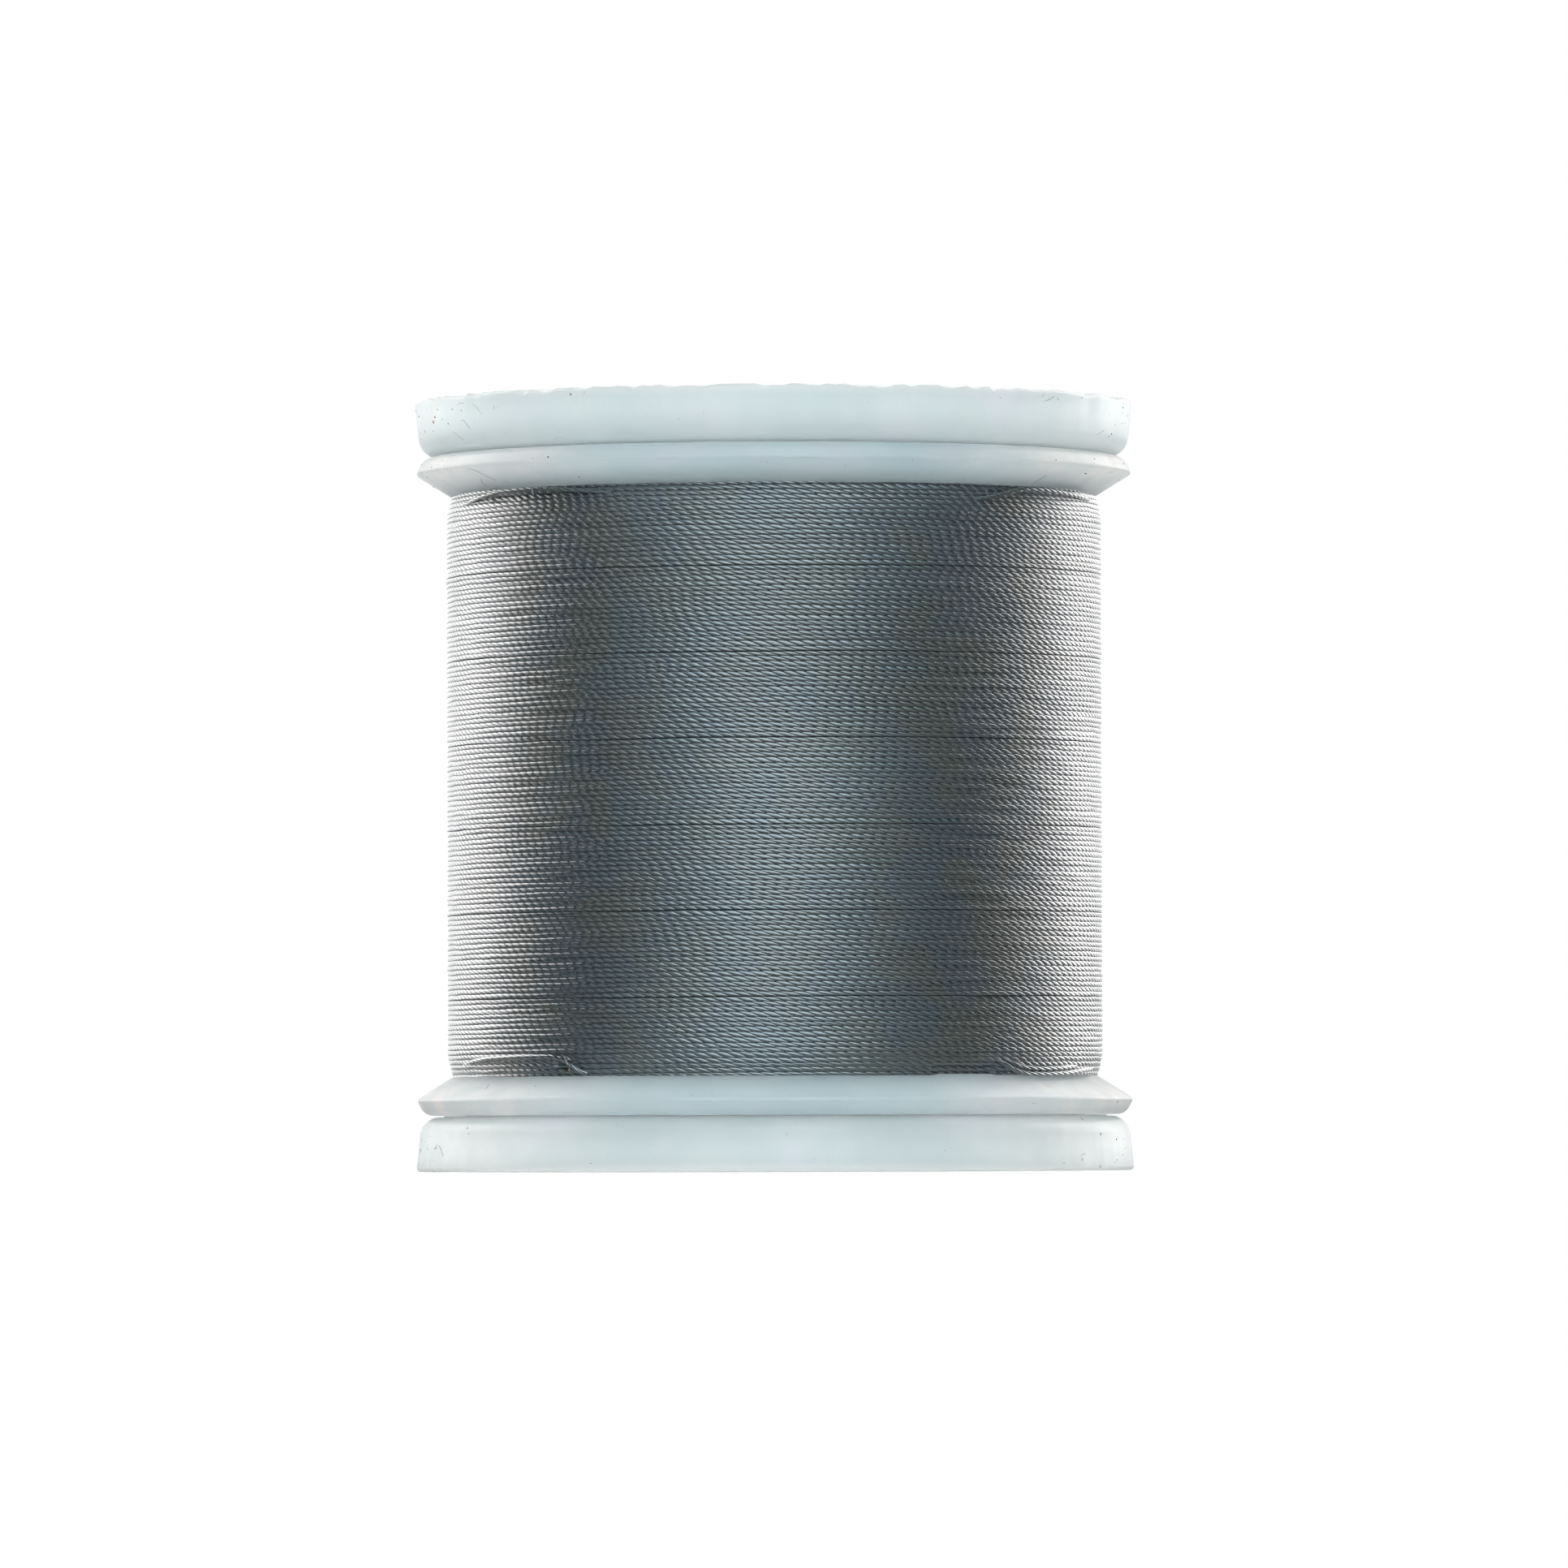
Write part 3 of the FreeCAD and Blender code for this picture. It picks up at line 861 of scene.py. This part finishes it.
winding = {
    "bands": 7,
    "turns": 118,
    "columns": 1000,
    "low": 3.49,
    "pitch": 0.1935,
    "radius": 12.78,
    "crownStart": 10.35,
    "lapHeight": 11.32,
    "crownDrop": 0.2,
    "startAngle": 64,
    "across": (-1.0, -0.66, 0.0, 0.66),
    "rowDepth": 0.029,
    "rowSquareness": 3.6,
    "plyDepth": 0.013,
    "wobble": 0.013,
    "lift": 0.009,
    "twist": 0.35,
    "seed": 11,
    # the slowest and the fastest wave of each curve, in turns
    "wobbleWaves": (1.3, 0.02),
    "liftWaves": (2.0, 0.03),
    "twistWaves": (6.0, 0.5),
    # places where outer turns are missing: angle, half the width, height, half the height, depth
    "hollows": (
        (-130.2, 1.6, 4.12, 0.2, 0.13),
        (-54.5, 7.0, 3.86, 0.26, 0.1),
        (-140.0, 9.0, 25.93, 0.12, 0.05),
    ),
    "core": 8.52,
    "tuck": (0.1, 0.05),  # how far the winding's ends go in behind the flange's foot
}


def slowNoise(seed, longest, shortest, count=90):
    # a smooth, random curve of the distance along the thread, in turns, about -1 to 1
    dice = np.random.default_rng(seed)
    rates = np.exp(dice.uniform(np.log(1 / longest), np.log(1 / shortest), count))
    phases = dice.uniform(0, 2 * np.pi, count)
    scale = np.sqrt(2.0 / count)

    def curve(turns):
        total = np.zeros_like(turns)
        for rate, phase in zip(rates, phases):
            total += np.sin(2 * np.pi * rate * turns + phase)
        return total * scale
    return curve


wobbleCurve = slowNoise(winding["seed"], *winding["wobbleWaves"])
liftCurve = slowNoise(winding["seed"] + 1, *winding["liftWaves"])
twistCurve = slowNoise(winding["seed"] + 2, *winding["twistWaves"])


def envelopeRadius(height):
    w = winding
    beyond = (np.abs(height - spool["middle"]) - w["crownStart"]) / (w["lapHeight"] - w["crownStart"])
    return w["radius"] - w["crownDrop"] * np.clip(beyond, 0, None) ** 1.5


def plateau(distance):
    # 1 in the middle, and 0 from a distance of 1 outwards
    return np.clip(1.6 - 1.6 * distance ** 4, 0, 1)


def hollowDepth(angle, height):
    depth = np.zeros_like(height)
    for place, halfWidth, middle, halfTall, deep in winding["hollows"]:
        aside = np.abs((angle - place + 180) % 360 - 180) / halfWidth
        along = np.abs(height - middle) / halfTall
        depth += deep * plateau(aside) * plateau(along)
    return depth


def rowCentre(turns):
    w = winding
    return w["low"] + w["pitch"] * (turns + 0.5) + w["wobble"] * wobbleCurve(turns)


def laysAlong(turns):
    w = winding
    return turns * 2 * np.pi * w["radius"] / thread["lay"] + w["twist"] * twistCurve(turns)


def threadCrest(across, turns):
    # how far the thread's face lies below its crown: rounded edges and a dip between plies
    w = winding
    leaning = np.arcsin(across * thread["slant"])
    strips = thread["plies"] * laysAlong(turns) + thread["plies"] / 2 / np.pi * leaning
    edge = w["rowDepth"] * np.abs(across) ** w["rowSquareness"]
    dip = w["plyDepth"] * (0.5 + 0.5 * np.cos(2 * np.pi * strips))
    return -edge - dip * (1 - np.abs(across) ** 2)


def cornersOf(piece):
    corners = np.zeros(len(piece.data.loops), dtype=np.int32)
    piece.data.loops.foreach_get("vertex_index", corners)
    return corners


def setPlaces(piece, places):
    piece.data.vertices.foreach_set("co", (places * mm).reshape(-1))


def setUv(piece, along, across):
    both = np.stack([along, across], axis=-1).astype(np.float32)
    piece.data.uv_layers["UVMap"].data.foreach_set("uv", both.reshape(-1))


def makeWindingBand(index, firstRow, rows):
    w = winding
    columns = w["columns"]
    perRow = len(w["across"])
    deselect()
    bpy.ops.mesh.primitive_grid_add(x_subdivisions=columns, y_subdivisions=rows * perRow, size=1)
    piece = bpy.context.object
    piece.name = "threadLayer%d" % (index + 1)

    column, line = np.meshgrid(np.arange(columns + 1), np.arange(rows * perRow + 1))
    turns = firstRow + line // perRow + column / columns
    within = line % perRow
    centre = rowCentre(turns)
    below = (rowCentre(turns - 1) + centre) / 2
    above = (rowCentre(turns + 1) + centre) / 2
    across = np.array(w["across"])[within]
    height = centre + np.where(across < 0, centre - below, above - centre) * across
    lift = liftCurve(turns)
    lift = np.where(within == 0, (lift + liftCurve(turns - 1)) / 2, lift)
    angle = w["startAngle"] + 360 * column / columns
    radius = envelopeRadius(height) + threadCrest(across, turns) + w["lift"] * lift
    radius -= hollowDepth(angle, height)
    turn = np.radians(angle)
    setPlaces(piece, np.stack([radius * np.cos(turn), radius * np.sin(turn), height], axis=-1))

    # lays along the thread and rows across it, so that each row keeps its own stretch of thread
    corners = cornersOf(piece)
    cornerColumn = corners % (columns + 1)
    cornerLine = corners // (columns + 1)
    faceLine = np.repeat(np.arange(len(piece.data.polygons)) // columns, 4)
    faceRow = faceLine // perRow
    shares = np.append((np.array(w["across"]) + 1) / 2, 1.0)
    uvAlong = laysAlong(firstRow + faceRow + cornerColumn / columns)
    uvAcross = firstRow + faceRow + shares[cornerLine - faceRow * perRow]
    setUv(piece, uvAlong, uvAcross)

    # join the ends of the turns, then close the band inwards down to the barrel
    startEdit(piece, "VERT")
    weld(0.0005)
    closeBandEnd(piece, -1, index == 0)
    closeBandEnd(piece, 1, index == w["bands"] - 1)
    selectOpenEdges()
    bpy.ops.mesh.bridge_edge_loops()
    faceOutwards()
    endEdit()
    smooth(piece, 89)
    dress(piece, threadFinish, "thread_winding", "spool")


def closeBandEnd(piece, side, atFlange):
    # side is -1 for the band's lower end and 1 for its upper end
    selectOpenEdges()
    shape = bmesh.from_edit_mesh(piece.data)
    edges = [edge for edge in shape.edges if edge.select]
    heights = [vertex.co.z for edge in edges for vertex in edge.verts]
    half = (min(heights) + max(heights)) / 2
    for edge in edges:
        middle = (edge.verts[0].co.z + edge.verts[1].co.z) / 2
        edge.select = (middle < half) == (side < 0)
    shape.select_flush_mode()
    bmesh.update_edit_mesh(piece.data)
    stops = [(winding["core"], None)]
    if atFlange:
        inward, down = winding["tuck"]
        level = barrel["flangeInner"] - down
        stops = [(barrel["bevelFoot"] - inward, level), (winding["core"], level)]
    for radius, level in stops:
        bpy.ops.mesh.extrude_region_move()
        shape = bmesh.from_edit_mesh(piece.data)
        for vertex in (v for v in shape.verts if v.select):
            scale = radius * mm / math.hypot(vertex.co.x, vertex.co.y)
            vertex.co.x *= scale
            vertex.co.y *= scale
            if level is not None:
                vertex.co.z = (spool["middle"] + side * level) * mm
        bmesh.update_edit_mesh(piece.data)


def makeWinding():
    row = 0
    for index in range(winding["bands"]):
        rows = (winding["turns"] - row) // (winding["bands"] - index)
        makeWindingBand(index, row, rows)
        row += rows


makeWinding()
print("thread wound")


# single strands, the thread's end and stray fibres

strand = {
    "radius": 0.09,
    "step": 0.07,
    "sides": 24,
    "groove": 0.2,
    "blend": 0.3,
}
# each place is (angle, radius, height), and each strand runs anticlockwise seen from above
tailRoute = (
    (57, 12.6, 24.95), (61, 12.84, 25.08), (66, 12.88, 25.26), (72, 12.87, 25.62), (78.5, 12.907, 26.405),
    (83, 13.66, 26.872), (85.5, 14.003, 27.085), (88, 14.037, 27.2), (90.5, 14.02, 27.33),
    (93, 13.939, 27.495),
    (96, 13.86, 27.65), (99, 13.75, 27.775), (104, 13.62, 27.862), (112, 13.545, 27.889),
)
laidStrands = {
    "crossingStrand1": ((-162, 12.62, 4.16), (-156, 12.74, 4.28), (-149.8, 12.84, 4.38),
                        (-139.8, 12.87, 4.43),
                        (-132, 12.87, 4.43), (-129, 12.87, 4.32), (-127.2, 12.85, 4.08),
                        (-125.8, 12.74, 3.86),
                        (-124.6, 12.55, 3.78)),
    "crossingStrand2": ((-48.4, 12.6, 4.3), (-46.6, 12.76, 4.14), (-44.3, 12.83, 3.9), (-41.6, 12.85, 3.74),
                        (-36, 12.82, 3.72), (-29, 12.8, 3.76), (-21, 12.74, 3.86), (-13, 12.6, 3.94)),
    "crossingStrand3": ((-46.6, 12.62, 4.32), (-44.6, 12.78, 4.14), (-42, 12.82, 3.98), (-37, 12.8, 3.92),
                        (-30, 12.76, 3.96), (-23, 12.6, 4.02)),
    "crossingStrand4": ((-53, 12.6, 25.72), (-48.8, 12.8, 25.86), (-45, 12.87, 26.06), (-41.4, 12.89, 26.22),
                        (-37, 12.88, 26.24), (-31, 12.86, 26.18), (-23, 12.8, 26.09), (-15, 12.62, 26.0)),
    "crossingStrand5": ((-161, 12.62, 25.86), (-153, 12.8, 26.04), (-145, 12.87, 26.2), (-135, 12.88, 26.23),
                        (-127.7, 12.82, 26.14), (-119, 12.6, 26.0)),
}


def strandPath(route):
    # the route's (angle, radius, height) places, joined smoothly and cut into even steps
    knots = np.array(route, dtype=float)
    turnStep, radiusStep, heightStep = np.diff(knots, axis=0).T
    steps = np.hypot(np.radians(turnStep) * knots[1:, 1], np.hypot(radiusStep, heightStep))
    reach = np.concatenate([[0], np.cumsum(steps)])
    along = np.linspace(0, reach[-1], int(reach[-1] / strand["step"]))
    wide = max(3, int(strand["blend"] / strand["step"]))
    blend = np.hanning(wide + 2)[1:-1]
    soft = []
    for axis in range(3):
        values = np.interp(along, reach, knots[:, axis])
        padded = np.pad(values, (wide // 2, wide - 1 - wide // 2), mode="edge")
        soft.append(np.convolve(padded, blend / blend.sum(), mode="valid"))
    turn = np.radians(soft[0])
    return np.stack([soft[1] * np.cos(turn), soft[1] * np.sin(turn), soft[2]], axis=-1), along


def makeStrand(name, route, firstLay=0.0):
    s = strand
    path, along = strandPath(route)
    sides = s["sides"]
    deselect()
    bpy.ops.mesh.primitive_grid_add(x_subdivisions=sides, y_subdivisions=len(path) - 1, size=1)
    piece = bpy.context.object
    piece.name = name
    ahead = np.gradient(path, axis=0)
    ahead /= np.linalg.norm(ahead, axis=1, keepdims=True)
    outward = path * (1, 1, 0)
    outward -= ahead * (outward * ahead).sum(axis=1, keepdims=True)
    outward /= np.linalg.norm(outward, axis=1, keepdims=True)
    upward = np.cross(outward, ahead)
    side = np.arange(sides + 1) / sides
    lays = firstLay + along[:, None] / thread["lay"] + side[None, :]
    within = (thread["plies"] * lays) % 1 * (2 * thread["plyReach"]) - thread["plyReach"]
    reach = s["radius"] * (1 - s["groove"] + s["groove"] * np.sqrt(1 - within ** 2))
    around = 2 * np.pi * side[None, :, None]
    places = path[:, None, :] + reach[..., None] * (
        np.cos(around) * outward[:, None, :] + np.sin(around) * upward[:, None, :])
    setPlaces(piece, places)
    uvAlong = lays.reshape(-1)[cornersOf(piece)]
    setUv(piece, uvAlong, np.full_like(uvAlong, 0.5))
    startEdit(piece, "VERT")
    weld(0.0005)
    selectOpenEdges()
    bpy.ops.mesh.fill()
    faceOutwards()
    endEdit()
    smooth(piece, 60)
    return piece


dress(makeStrand("spunThreadEnd", tailRoute), threadFinish, "thread_tail", "spool")
for name, route in laidStrands.items():
    dress(makeStrand(name, route, 0.3), threadFinish, None, "spool")
print("strands laid")

# each fibre is its radius and its (angle, radius, height) places
darkFibre = (0.016, (
    (-149.1, 12.95, 26.05), (-148.2, 13.05, 26.18), (-146.6, 13.1, 26.28), (-144.8, 13.1, 26.33),
    (-143.1, 13.1, 26.32)))
strayFibres = (
    (0.014, ((-135.2, 12.98, 25.95), (-135.3, 13.02, 26.12), (-135.0, 13.06, 26.3))),
    (0.014, ((-128.9, 12.97, 4.52), (-128.0, 13.02, 4.36), (-127.5, 13.04, 4.12))),
    (0.014, ((-128.2, 12.98, 4.44), (-127.4, 13.05, 4.4), (-126.8, 13.05, 4.3))),
    (0.014, ((-41.5, 12.98, 26.28), (-42.0, 13.08, 26.42), (-42.8, 13.12, 26.5))),
    (0.035, ((-54.4, 12.86, 25.2), (-54.5, 12.93, 25.21), (-54.6, 12.86, 25.22))),
)


def makeFibre(name, radius, places):
    return tubeAlong(name, [aroundAxis(*place) for place in places], radius)


fibres = [makeFibre("fibre", *fibre) for fibre in strayFibres]
dress(joined("strayFibres", fibres), lintFinish, None, "spool")
print("stray fibres laid")


# hairs and specks that cling to the plastic's outer face

dust = {
    "hairRadius": 0.011,
    "hairStep": 0.17,
    "hairBend": 0.7,
    "hairLift": 0.3,  # share of its radius that a hair's middle stands off the face
    "speckSize": (0.018, 0.05),
    "nearSide": (-150, -30),  # where the extra specks are half as large
    "extraSpecks": 70,
    "extraHairs": 9,
    "seed": 8,
}
# hairs are rows of (angle, height) places, specks are (angle, height, radius)
dustPlaces = {
    "upperCap": {
        "body": "upper_cap",
        "span": (28.3, 29.8),
        "hairs": (
            ((-151.2, 29.58), (-150.4, 29.64), (-149.6, 29.66), (-148.6, 29.6)),
            ((-146.5, 29.56), (-145.3, 29.5), (-144.4, 29.3), (-143.6, 29.14)),
            ((-150.3, 28.98), (-149.3, 29.0), (-148.5, 28.84), (-147.3, 28.62)),
            ((-153.6, 28.56), (-152.3, 28.54), (-151.3, 28.36), (-150.2, 28.22)),
            ((-121.5, 29.58), (-121.2, 29.72), (-120.9, 29.82)),
            ((-42.6, 29.68), (-42.0, 29.8)),
            ((-41.8, 29.52), (-40.8, 29.58), (-39.4, 29.74)),
            ((-38.8, 29.72), (-38.2, 29.6)),
            ((-25.7, 28.4), (-24.4, 28.48), (-22.6, 28.62)),
        ),
        "specks": (
            (-160.4, 29.23, 0.05), (-161.3, 29.02, 0.04), (-161.7, 28.71, 0.03), (-154.7, 28.91, 0.04),
            (-152.8, 29.45, 0.035), (-149.8, 29.37, 0.03), (-123.6, 29.72, 0.06), (-121.3, 29.3, 0.02),
            (-31.6, 29.78, 0.04), (-13.3, 29.77, 0.03), (-13.4, 29.61, 0.05), (-8.7, 29.35, 0.03),
            (-51.4, 29.6, 0.02), (-75, 29.3, 0.02), (-101, 28.9, 0.02), (-158.6, 29.5, 0.03),
            (-156.9, 29.1, 0.025),
            (-17.2, 28.9, 0.025), (-21.0, 29.2, 0.02), (-146.0, 28.9, 0.02), (-139.5, 29.4, 0.02),
        ),
    },
    "barrel": {
        "body": "spool",
        "span": (26.5, 27.6),
        "hairs": (
            ((-148.4, 27.1), (-147.0, 27.08), (-146.0, 26.86), (-144.6, 26.63)),
            ((-149.8, 26.43), (-149.5, 26.62), (-148.5, 26.72)),
            ((-38.6, 26.42), (-38.2, 26.6), (-37.6, 26.75)),
            ((-18.5, 2.62), (-13.0, 2.56), (-8.0, 2.7), (-5.5, 2.86)),
            ((-148.3, 3.42), (-147.2, 3.36), (-146.6, 3.2)),
            ((-148.0, 2.95), (-146.8, 2.84), (-146.4, 2.7)),
        ),
        "specks": (
            (-131.5, 27.33, 0.03), (-128.3, 27.36, 0.045), (-130.1, 26.54, 0.03), (-27.1, 26.91, 0.055),
            (-38.4, 26.4, 0.03), (-38.8, 27.29, 0.04), (-124.9, 26.6, 0.03), (-162, 27.3, 0.03),
            (-165, 27.15, 0.02),
            (-159, 27.2, 0.025), (-156, 27.3, 0.02), (-170, 27.2, 0.02), (-27.4, 27.3, 0.02),
            (-134.1, 3.3, 0.03),
            (-44.5, 2.6, 0.02), (-98.5, 3.4, 0.02), (-141, 2.6, 0.02), (-31, 3.1, 0.02),
        ),
    },
    "lowerCap": {
        "body": "lower_cap",
        "span": (0.2, 1.6),
        "hairs": (
            ((-160.3, 1.1), (-159.0, 1.0), (-158.0, 0.78), (-157.4, 0.6)),
            ((-33.0, 0.5), (-32.2, 0.62), (-31.2, 0.66)),
        ),
        "specks": (
            (-149.2, 1.7, 0.05), (-148.4, 1.49, 0.03), (-120.2, 0.35, 0.03), (-62.3, 0.8, 0.02),
            (-37.4, 0.3, 0.03),
            (-18.0, 1.2, 0.04), (-15.0, 0.6, 0.03), (-166.0, 0.9, 0.03), (-163.5, 0.4, 0.02),
            (-84.0, 0.5, 0.02),
        ),
    },
}


def onFace(piece, angle, height, lift):
    # the place on the piece's outer face, found from outside towards the axis
    start = aroundAxis(angle, 20, height)
    inward = (aroundAxis(0, 0, height) - start).normalized()
    found, place, normal, face = piece.ray_cast(start, inward)
    return place + normal * lift * mm


def extraHair(dice, low, high):
    # a short wandering hair on the spool's far side
    d = dust
    angle, height = dice.uniform(5, 175), dice.uniform(low + 0.2, high - 0.2)
    turn, hair = dice.uniform(0, 6.28), []
    for step in range(4):
        hair.append((angle, min(high, max(low, height))))
        turn += dice.uniform(-d["hairBend"], d["hairBend"])
        angle += math.degrees(d["hairStep"] * math.cos(turn) / spool["rim"])
        height += d["hairStep"] * math.sin(turn)
    return hair


def extraSpeck(dice, low, high):
    smallest, largest = dust["speckSize"]
    nearFrom, nearTo = dust["nearSide"]
    angle = dice.uniform(-180, 180)
    size = smallest + (largest - smallest) * dice.random() ** 4
    return angle, dice.uniform(low, high), size * (0.5 if nearFrom < angle < nearTo else 1)


def settleDust(name, piece, places):
    d = dust
    bpy.context.view_layer.update()
    dice = random.Random(d["seed"] + len(name))
    span = places["span"]
    threads, grains = [], []
    hairs = [*places["hairs"], *(extraHair(dice, *span) for count in range(d["extraHairs"]))]
    for hair in hairs:
        route = [onFace(piece, *place, d["hairLift"] * d["hairRadius"]) for place in hair]
        threads.append(tubeAlong("hair", route, d["hairRadius"]))
    specks = [*places["specks"], *(extraSpeck(dice, *span) for count in range(d["extraSpecks"]))]
    for angle, height, size in specks:
        bpy.ops.mesh.primitive_ico_sphere_add(
            subdivisions=1, radius=size * mm, location=onFace(piece, angle, height, 0.0),
            rotation=(dice.uniform(0, 3), dice.uniform(0, 3), 0))
        grain = bpy.context.object
        grain.scale = (1.0, dice.uniform(0.5, 1.0), dice.uniform(0.4, 0.8))
        grains.append(grain)
    dress(joined(name + "Hairs", threads), hairFinish, None, places["body"])
    dress(joined(name + "Specks", grains), dustFinish, None, places["body"])


dress(makeFibre("darkFibre", *darkFibre), dustFinish, None, "spool")
for name, piece in (("upperCap", upperSnapCap), ("barrel", spoolBarrel), ("lowerCap", lowerSnapCap)):
    settleDust(name, piece, dustPlaces[name])
print("dust settled")


# camera, light and floor

view = {
    "distance": 520,
    "eye": 2.0,
    "aside": 0.339,
    "pitch": 1.443,
    "roll": 0.16,
    "lens": 305.8,
    "sensor": 36,
    "clip": (10, 50000),
}


def makeCamera():
    v = view
    bpy.ops.object.camera_add(
        location=(v["aside"] * mm, -v["distance"] * mm, v["eye"] * mm),
        rotation=(math.radians(90 + v["pitch"]), math.radians(v["roll"]), 0))
    camera = bpy.context.object
    camera.data.lens = v["lens"]
    camera.data.sensor_width = v["sensor"]
    camera.data.clip_start, camera.data.clip_end = (reach * mm for reach in v["clip"])
    scene.camera = camera


# azimuth from the camera's side towards the right, elevation, distance, width, height, brightness, tint,
# and what a lamp lights: only reflections ("sheen") or only matt light ("fill")
lamps = {
    "front": (-4, 28, 900, 740, 860, 2.7, (0.95, 1.0, 1.01), "fill"),
    "frontSheen": (2, 22, 900, 830, 1500, 2.05, (0.86, 1.0, 1.07), "sheen"),
    "frontGlow": (0, 22, 900, 3000, 1500, 0.66, (0.86, 1.0, 1.07), "sheen"),
    "leftStrip": (-124, 18, 900, 640, 1300, 3.1, (1.0, 0.94, 0.92), "sheen"),
    "rightStrip": (134, 18, 900, 600, 1300, 2.9, (1.0, 0.94, 0.92), "sheen"),
    "leftFill": (-85, 16, 900, 1500, 600, 1.3, (1.0, 1.0, 1.0), "fill"),
    "rightFill": (85, 16, 900, 1500, 600, 1.3, (1.0, 1.0, 1.0), "fill"),
}
surround = {
    "white": (1, 1, 1, 1),
    "fill": 0.25,
    "backdropTone": (0.8, 0.8, 0.8, 1),
    "backdrop": 1.95,
    "turn": (0.35, 0.85),
    "levelling": (1, 1, 0.3),
}
# fades are (from, to) in millimetres, and the value at each end
table = {
    "size": 12000,
    "paint": (0.86, 0.86, 0.86, 1),
    "shadow": (13.9, 16, 0.93, 1.0),
    "darkFront": (0.0, 80, 0.76, 0.0),
    "litNear": (18, 45, 0.75, 0.0),
    "litAside": (14, 60, 0.0, 0.8),
}


def makeLamps():
    target = Vector((0, 0, spool["middle"] * mm))
    for name, (azimuth, elevation, distance, width, height, brightness, tint, lights) in lamps.items():
        turn = math.radians(azimuth - 90)
        rise = math.radians(elevation)
        direction = Vector((math.cos(turn) * math.cos(rise), math.sin(turn) * math.cos(rise), math.sin(rise)))
        bpy.ops.object.light_add(type="AREA", location=target + direction * distance * mm)
        lamp = bpy.context.object
        lamp.name = name
        lamp.rotation_euler = (-direction).to_track_quat("-Z", "Y").to_euler()
        lamp.data.shape = "RECTANGLE"
        lamp.data.size = width * mm
        lamp.data.size_y = height * mm
        lamp.data.energy = brightness * math.pi * width * height * mm * mm
        lamp.data.color = tint
        lamp.visible_camera = False
        lamp.visible_diffuse = lights != "sheen"
        lamp.visible_glossy = lights != "fill"


def mixShaders(tree, share, first, second):
    node = addNode(tree, "ShaderNodeMixShader")
    feed(tree, node.inputs, (share, first.outputs[0], second.outputs[0]))
    return node


def makeWorld():
    # white to the camera, an even fill on the object, and a pale backdrop in its reflections
    world = bpy.data.worlds.new("studio")
    scene.world = world
    world.use_nodes = True
    tree = world.node_tree
    fill = tree.nodes["Background"]
    setSockets(fill, {"Color": surround["white"], "Strength": surround["fill"]})
    white = addNode(tree, "ShaderNodeBackground")
    setSockets(white, {"Color": surround["white"], "Strength": 1.0})
    backdrop = addNode(tree, "ShaderNodeBackground")
    setSockets(backdrop, {"Color": surround["backdropTone"]})
    way = addNode(tree, "ShaderNodeTexCoord").outputs["Generated"]
    heading = vectorNode(tree, "NORMALIZE", vectorNode(tree, "MULTIPLY", way, surround["levelling"]))
    behind = rampNode(tree, axesOf(tree, heading)["Y"], *surround["turn"], 0.0, surround["backdrop"])
    wire(tree, behind, backdrop.inputs["Strength"])
    path = addNode(tree, "ShaderNodeLightPath").outputs
    seen = mathNode(tree, "MAXIMUM", path["Is Camera Ray"], path["Is Transmission Ray"])
    lit = mixShaders(tree, path["Is Glossy Ray"], fill, backdrop)
    wire(tree, mixShaders(tree, seen, lit, white).outputs[0], tree.nodes["World Output"].inputs["Surface"])
    arrange(tree)


def makeFloor():
    deselect()
    bpy.ops.mesh.primitive_plane_add(size=table["size"] * mm, location=(0, 0, 0))
    floor = bpy.context.object
    floor.name = "studioFloor"
    material, tree, paint = newMaterial("paleFloor", {
        "Base Color": table["paint"], "Roughness": 0.9, "Specular IOR Level": 0.1})
    white = addNode(tree, "ShaderNodeEmission")
    path = addNode(tree, "ShaderNodeLightPath").outputs
    place = addNode(tree, "ShaderNodeTexCoord").outputs["Object"]
    away = vectorNode(tree, "LENGTH", place)
    axes = axesOf(tree, place)
    # reflections see a white table behind the spool and a dark one in front
    dark = mathNode(tree, "MULTIPLY", path["Is Glossy Ray"], fadeNode(tree, axes["Y"], table["darkFront"]))
    wire(tree, mathNode(tree, "SUBTRACT", 1.0, dark), white.inputs["Strength"])
    # the camera sees it white, but for a faint shadow at the foot
    seen = mathNode(tree, "MULTIPLY", path["Is Camera Ray"], fadeNode(tree, away, table["shadow"]))
    share = mathNode(tree, "MAXIMUM", seen, path["Is Glossy Ray"])
    # and matt undersides see it lit
    aside = fadeNode(tree, mathNode(tree, "ABSOLUTE", axes["X"]), table["litAside"])
    lit = mathNode(tree, "MAXIMUM", aside, fadeNode(tree, away, table["litNear"]))
    spread = mathNode(tree, "MULTIPLY", path["Is Diffuse Ray"], lit)
    share = mathNode(tree, "MAXIMUM", share, spread)
    mix = mixShaders(tree, share, paint, white)
    wire(tree, mix.outputs[0], tree.nodes["Material Output"].inputs["Surface"])
    arrange(tree)
    floor.data.materials.append(material)


makeCamera()
makeLamps()
makeWorld()
makeFloor()
scene.view_settings.view_transform = "Standard"
print("studio set")
